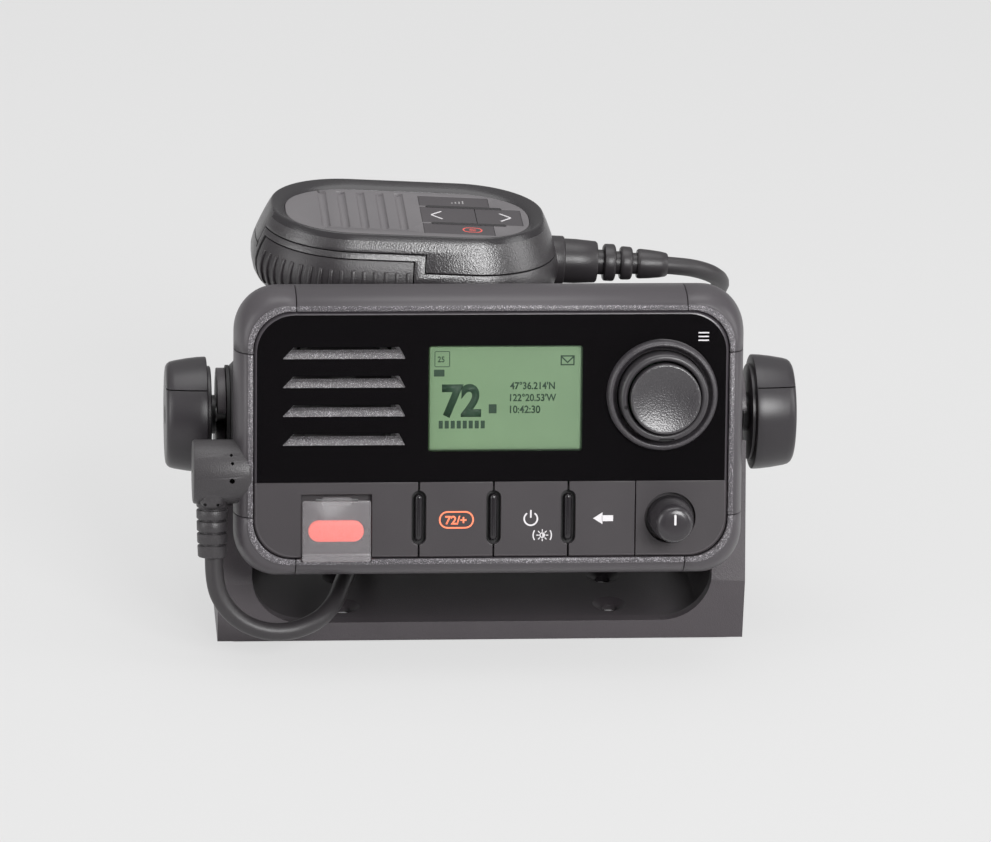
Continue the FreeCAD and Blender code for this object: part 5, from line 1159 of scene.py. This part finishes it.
face_satin = moulded("face_satin", (0.145, 0.136, 0.141), 0.36, 3200, 0.10)
mic_key_satin = moulded("mic_key_satin", (0.058, 0.052, 0.056), 0.40, 3200, 0.08)
legend_faint = ink("legend_faint", (0.30, 0.29, 0.29))
legend_red = ink("legend_red", (0.80, 0.11, 0.09))
dress(mic_key_satin, "mic_key_down", "mic_key_up", "mic_key_channel", "mic_key_power_level",
      soft=0.2)
face_plate = begin_pad("microphone_face", 79.7, 43.7, 19.9, -4.2)
draw_out([(79.7, 43.7, -4.2), (79.7, 43.7, -2.15), (79.4, 43.4, -2.0)], axis=2)
close_piece(face_plate, 40)
face_plate.data.materials.append(face_satin)
GROOVE_COUNT, GROOVE_START, GROOVE_PITCH = 5, -27.2, 6.35
GROOVE_NEAR, GROOVE_FAR = -15.0, 19.5
GROOVE_RADIUS, GROOVE_UP = 1.6, -1.35
HOLE_RADIUS, HOLE_LENGTH, HOLE_SIDE, HOLE_UP = 1.1, 2.5, GROOVE_NEAR - 0.2, -2.55


def rod(radius, length, place, material, turn=0.0, sides=32):
    """A round bar about a place, upright or leaned towards the viewer's way."""
    bpy.ops.mesh.primitive_cylinder_add(
        vertices=sides, radius=radius * MM, depth=length * MM, location=Vector(place) * MM,
        rotation=(turn, 0, 0))
    bpy.ops.object.transform_apply()
    bpy.context.object.data.materials.append(material)
    return bpy.context.object


for index in range(GROOVE_COUNT):
    across = GROOVE_START + index * GROOVE_PITCH
    carve(face_plate, rod(GROOVE_RADIUS, GROOVE_FAR - GROOVE_NEAR,
                          (across, (GROOVE_FAR + GROOVE_NEAR) / 2, GROOVE_UP), face_satin,
                          math.pi / 2))
    # the hole walls take painted shade
    carve(face_plate, rod(HOLE_RADIUS, HOLE_LENGTH, (across, HOLE_SIDE, HOLE_UP), hole_painted_shade,
                          sides=24))
KEY_WELLS = (((4.6, -7.4), (22.4, 7.4)), ((22.6, -7.4), (37.4, 7.4)),
             ((4.6, -18.0), (27.5, -8.7)), ((4.6, 8.7), (27.5, 18.0)))
WELL_GAP, WELL_FLOOR = 0.12, -4.6
# the well walls take painted shade
for (left, near), (right, far) in KEY_WELLS:
    carve(face_plate, box_tool("key_well", (left - WELL_GAP, near - WELL_GAP, WELL_FLOOR),
                               (right + WELL_GAP, far + WELL_GAP, 1), seam_painted_shade))
break_edges(face_plate, 0.15, 2, 40)
seat(face_plate, mic_seat, "microphone")
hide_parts("mic_face_panel")


def on_mic_face(mark, lift):
    """Lay a mark that faces the viewer flat on the microphone's face."""
    mark.data.transform(
        Matrix.Translation((0, 0, lift * MM)) @ Matrix.Rotation(-math.pi / 2, 4, "X")
        @ Matrix.Translation((0, LIP_REACH * MM, 0)))
    return mark


FACE_LIFT, SLOT_LIFT, SLOT_SIDE = -1.99, -2.25, 8.05
CHEVRON_RISE, CHEVRON_LEAN = 1.9, 46
RED_SIGN = (20.4, -13.4)
slots = []
for side, middle, length in ((-1, 19.6, 24.5), (1, 19.0, 25.0)):
    slot = tile_piece("row_slot", 0.8, [
        (length, 1.7, 0), (length, 1.7, -0.35), (length - 0.4, 1.3, -0.45)],
        middle, side * SLOT_SIDE, 6)
    slot.data.materials.append(divider_gloss)
    slots.append(on_mic_face(slot, SLOT_LIFT))
join(slots)
seat(slots[0], mic_seat, "microphone")
slots[0].name = "row_slots"
for name, place, side in (("mic_key_down", 9.6, -1), ("mic_key_up", 32.2, 1)):
    strokes = []
    for lean in (-1, 1):
        stroke = plain_mark("chevron", 5.0, 0.7, 0.1, place, lean * CHEVRON_RISE, 0)
        strokes.append(turn_mark(stroke, lean * side * CHEVRON_LEAN, place, lean * CHEVRON_RISE))
    chevron = join_marks(name + "_print", strokes, legend_white)
    on_mic_face(chevron, FACE_LIFT)
    seat(chevron, mic_seat, name)
red_mark = join_marks("channel_ring_print", [
    plain_mark("red_pill", 6.4, 4.4, 2.0, *RED_SIGN, 0, 0.45),
    plain_mark("red_bar", 2.2, 0.7, 0.2, *RED_SIGN, 0)], legend_red)
on_mic_face(red_mark, FACE_LIFT)
seat(red_mark, mic_seat, "mic_key_channel")
level_mark = join_marks("level_print", [
    plain_mark(f"level_bar_{index}", 0.5, 1.0 + 0.6 * index, 0.05, 15.5 + 1.2 * index,
               12.4 + 0.3 * index, 0) for index in range(4)], legend_faint)
on_mic_face(level_mark, FACE_LIFT)
seat(level_mark, mic_seat, "mic_key_power_level")


# ---- side clamp knobs
# A hand knob on each side of the bracket, moulded in satin black over a steel stud. A flange carries
# a tapering grip with a rounded outer edge.

knob_satin = moulded("knob_satin", (0.024, 0.021, 0.024), 0.36, 2600, 0.08, change=0.08)
stud_steel = moulded("stud_steel", (0.55, 0.55, 0.55), 0.28, 2500, 0.1, metal=1.0)
washer_rubber = moulded("washer_rubber", (0.014, 0.013, 0.014), 0.6, 1500, 0.2)
KNOB_PROFILE = [
    (3.2, 85.3), (6.25, 85.3), (6.25, 86.9), (15.2, 86.9), (15.6, 87.2), (15.6, 88.0), (16.6, 88.2),
    (18.2, 88.25), (18.5, 88.4), (18.6, 88.8), (18.5, 91.0), (18.1, 94.5), (17.4, 98.6),
    (17.0, 100.0), (16.4, 100.8), (15.6, 101.25), (14.6, 101.4), (3.2, 101.4)]


def turn_in_place(name, profile, centre, turn, sides=64):
    """A turned piece whose profile's distances run along an axis turned from the viewer's way."""
    piece = turned_ring(name, [(radius, reach + LIP_REACH) for radius, reach in profile], 0, 0, sides)
    bpy.ops.object.mode_set(mode="OBJECT")
    piece.data.transform(Matrix.Translation(Vector(centre) * MM) @ turn)
    bpy.ops.object.mode_set(mode="EDIT")
    return close_piece(piece, 40)


along_x = Matrix.Rotation(-math.pi / 2, 4, "Z")
along_z = Matrix.Rotation(math.pi / 2, 4, "X")
grip = turn_in_place("clamp_grip_right", KNOB_PROFILE, (0, 0, 0), along_x, 96)
grip.data.materials.append(knob_satin)
# the slit's walls take painted shade
carve(grip, box_tool("grip_slit", (88.6, -30, 9.8), (110, -4, 10.15), hole_painted_shade))
smooth(grip, 40)
twin = copy_of(grip, "clamp_grip_left")
twin.data.transform(Matrix.Diagonal((-1, 1, 1, 1)))
twin.data.flip_normals()
for piece, side in ((grip, "right"), (twin, "left")):
    seat(piece, radio_seat, "clamp_" + side)
    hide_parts("clamp_knob_" + side)
    dress(stud_steel, "clamp_stud_" + side)
dress(washer_rubber, "friction_washers")


# ---- plug and its strain relief
# A round moulded plug pushes into a socket behind the frame's left side. Its cord leaves downwards
# through a neck and four soft rings.

# its light specks are painted glints
plug_grey = moulded("plug_grey", (0.034, 0.031, 0.033), 0.42, 2300, 0.25, 0.2, (0.10, 0.09, 0.10))
PLUG_AXIS = (-36.2, -12.65)
PLUG_PROFILE = [
    (0.6, -94.0), (9.5, -94.0), (9.95, -93.8), (10.15, -93.3), (10.15, -77.0), (10.05, -76.4),
    (9.7, -75.9), (9.0, -75.4), (0.6, -75.4)]
RELIEF_X = -87.8
NECK_PROFILE = [(0.6, -12.0), (5.0, -12.0), (5.0, -23.4), (4.8, -23.9), (4.4, -24.1), (0.6, -24.1)]
RELIEF_PROFILE = [
    (3.0, -24.1), (4.2, -24.1), (4.2, -24.7), (4.85, -24.75), (5.0, -25.0), (4.95, -27.3),
    (4.8, -27.55), (3.9, -27.6), (3.9, -28.3), (4.7, -28.35), (4.9, -28.6), (4.85, -31.2),
    (4.7, -31.45), (3.85, -31.5), (3.85, -32.2), (4.6, -32.25), (4.8, -32.5), (4.7, -35.1),
    (4.55, -35.35), (3.8, -35.4), (3.8, -36.1), (4.45, -36.15), (4.65, -36.4), (4.5, -39.5),
    (4.2, -39.9), (3.4, -40.1), (3.0, -40.1)]


barrel = turn_in_place("plug_barrel", PLUG_PROFILE, (0, *PLUG_AXIS), along_x)
neck = turn_in_place("plug_neck", NECK_PROFILE, (RELIEF_X, PLUG_AXIS[0], 0), along_z)
barrel.data.materials.append(plug_grey)
neck.data.materials.append(plug_grey)
carve(barrel, neck, "UNION")
SPINE_RADIUS, SPINE_LENGTH, SPINE_UP = 4.3, 9.2, -19.4
spine = rod(SPINE_RADIUS, SPINE_LENGTH, (RELIEF_X, PLUG_AXIS[0] - 3.6, SPINE_UP), plug_grey,
            sides=48)
break_edges(spine, 3.6, 8, 40)
carve(barrel, spine, "UNION")
# each small hole's place across and up, and its radius
PLUG_HOLES = ((-82.1, 6.4, 0.45), (-81.8, 4.0, 0.5), (-81.9, -1.5, 0.85), (-90.3, -9.6, 0.55),
              (-86.3, -9.6, 0.5))
hole_blocks = []
# the walls of the small holes take painted shade
for across, up, radius in PLUG_HOLES:
    hole = begin_disc("plug_hole", radius, across, PLUG_AXIS[1] + up, -2, 20)
    hole_blocks.append(sink(hole, 6, hole_painted_shade))
carve(barrel, join(hole_blocks))
break_edges(barrel, 0.3, 2, 50)
seat(barrel, radio_seat, "radio")
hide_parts("mic_plug")
rings = turn_in_place("plug_relief_rings", RELIEF_PROFILE, (RELIEF_X, PLUG_AXIS[0], 0), along_z)
seat(rings, radio_seat, "radio", plug_grey)
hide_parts("plug_strain_relief")


# ---- microphone strain relief
# Soft rubber moulded over the cord where it leaves the microphone: a collar, a barrel and three
# thinner rings that let it bend.

relief_satin = moulded("relief_satin", (0.024, 0.021, 0.023), 0.38, 2300, 0.12)
MIC_RELIEF_PROFILE = [
    (3.0, 46.25), (8.1, 46.25), (8.1, 51.6), (7.8, 52.1), (7.3, 52.3), (7.25, 56.0), (6.8, 62.6),
    (6.4, 63.1), (5.6, 63.25), (4.1, 63.3), (4.1, 65.2), (5.5, 65.3), (6.0, 65.7), (6.1, 66.3),
    (6.1, 68.4), (5.9, 68.9), (5.4, 69.2), (3.8, 69.3), (3.8, 70.8), (5.0, 70.9), (5.4, 71.3),
    (5.5, 71.9), (5.4, 74.0), (5.2, 74.5), (4.7, 74.8), (3.5, 74.9), (3.5, 76.4), (4.5, 76.5),
    (4.8, 76.9), (4.9, 77.5), (4.7, 80.5), (4.3, 84.0), (3.9, 86.0), (3.5, 86.5), (3.0, 86.55)]
mic_relief = turn_in_place("microphone_relief_rings", MIC_RELIEF_PROFILE, (0, 0, -16.0), along_x)
seat(mic_relief, mic_seat, "microphone", relief_satin)
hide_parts("mic_strain_relief")


# ---- rear and inner parts
# A die-cast aluminium box with a finned heat sink, painted black, with the antenna socket and the
# power inlet at the back. Inside are the boards, the speaker and their fixings.

# its light specks are painted glints
cast_black = moulded("cast_black", (0.028, 0.026, 0.028), 0.45, 1500, 0.35, 0.12, (0.09, 0.09, 0.09))
bright_metal = moulded("bright_metal", (0.60, 0.60, 0.58), 0.30, 2500, 0.12, metal=1.0)
warm_brass = moulded("warm_brass", (0.72, 0.52, 0.24), 0.30, 2500, 0.10, metal=1.0)
board_green = moulded("board_green", (0.010, 0.075, 0.030), 0.38, 1800, 0.10)
dull_black = moulded("dull_black", (0.020, 0.019, 0.020), 0.50, 1900, 0.20)
dress(cast_black, "rear_housing", "heat_sink", soft=0.4)
dress(bright_metal, "antenna_socket", "corner_screws", "housing_screws", "rf_shield",
      "mic_screws", "volume_shaft", "mic_hanger_stud")
dress(warm_brass, "antenna_contact", "trunnion_inserts")
dress(board_green, "main_board", "front_board", "mic_board")
dress(dull_black, "speaker", "rotary_encoders", "keypad_membrane", "front_seal", "mic_socket",
      "mic_capsule", "power_inlet")
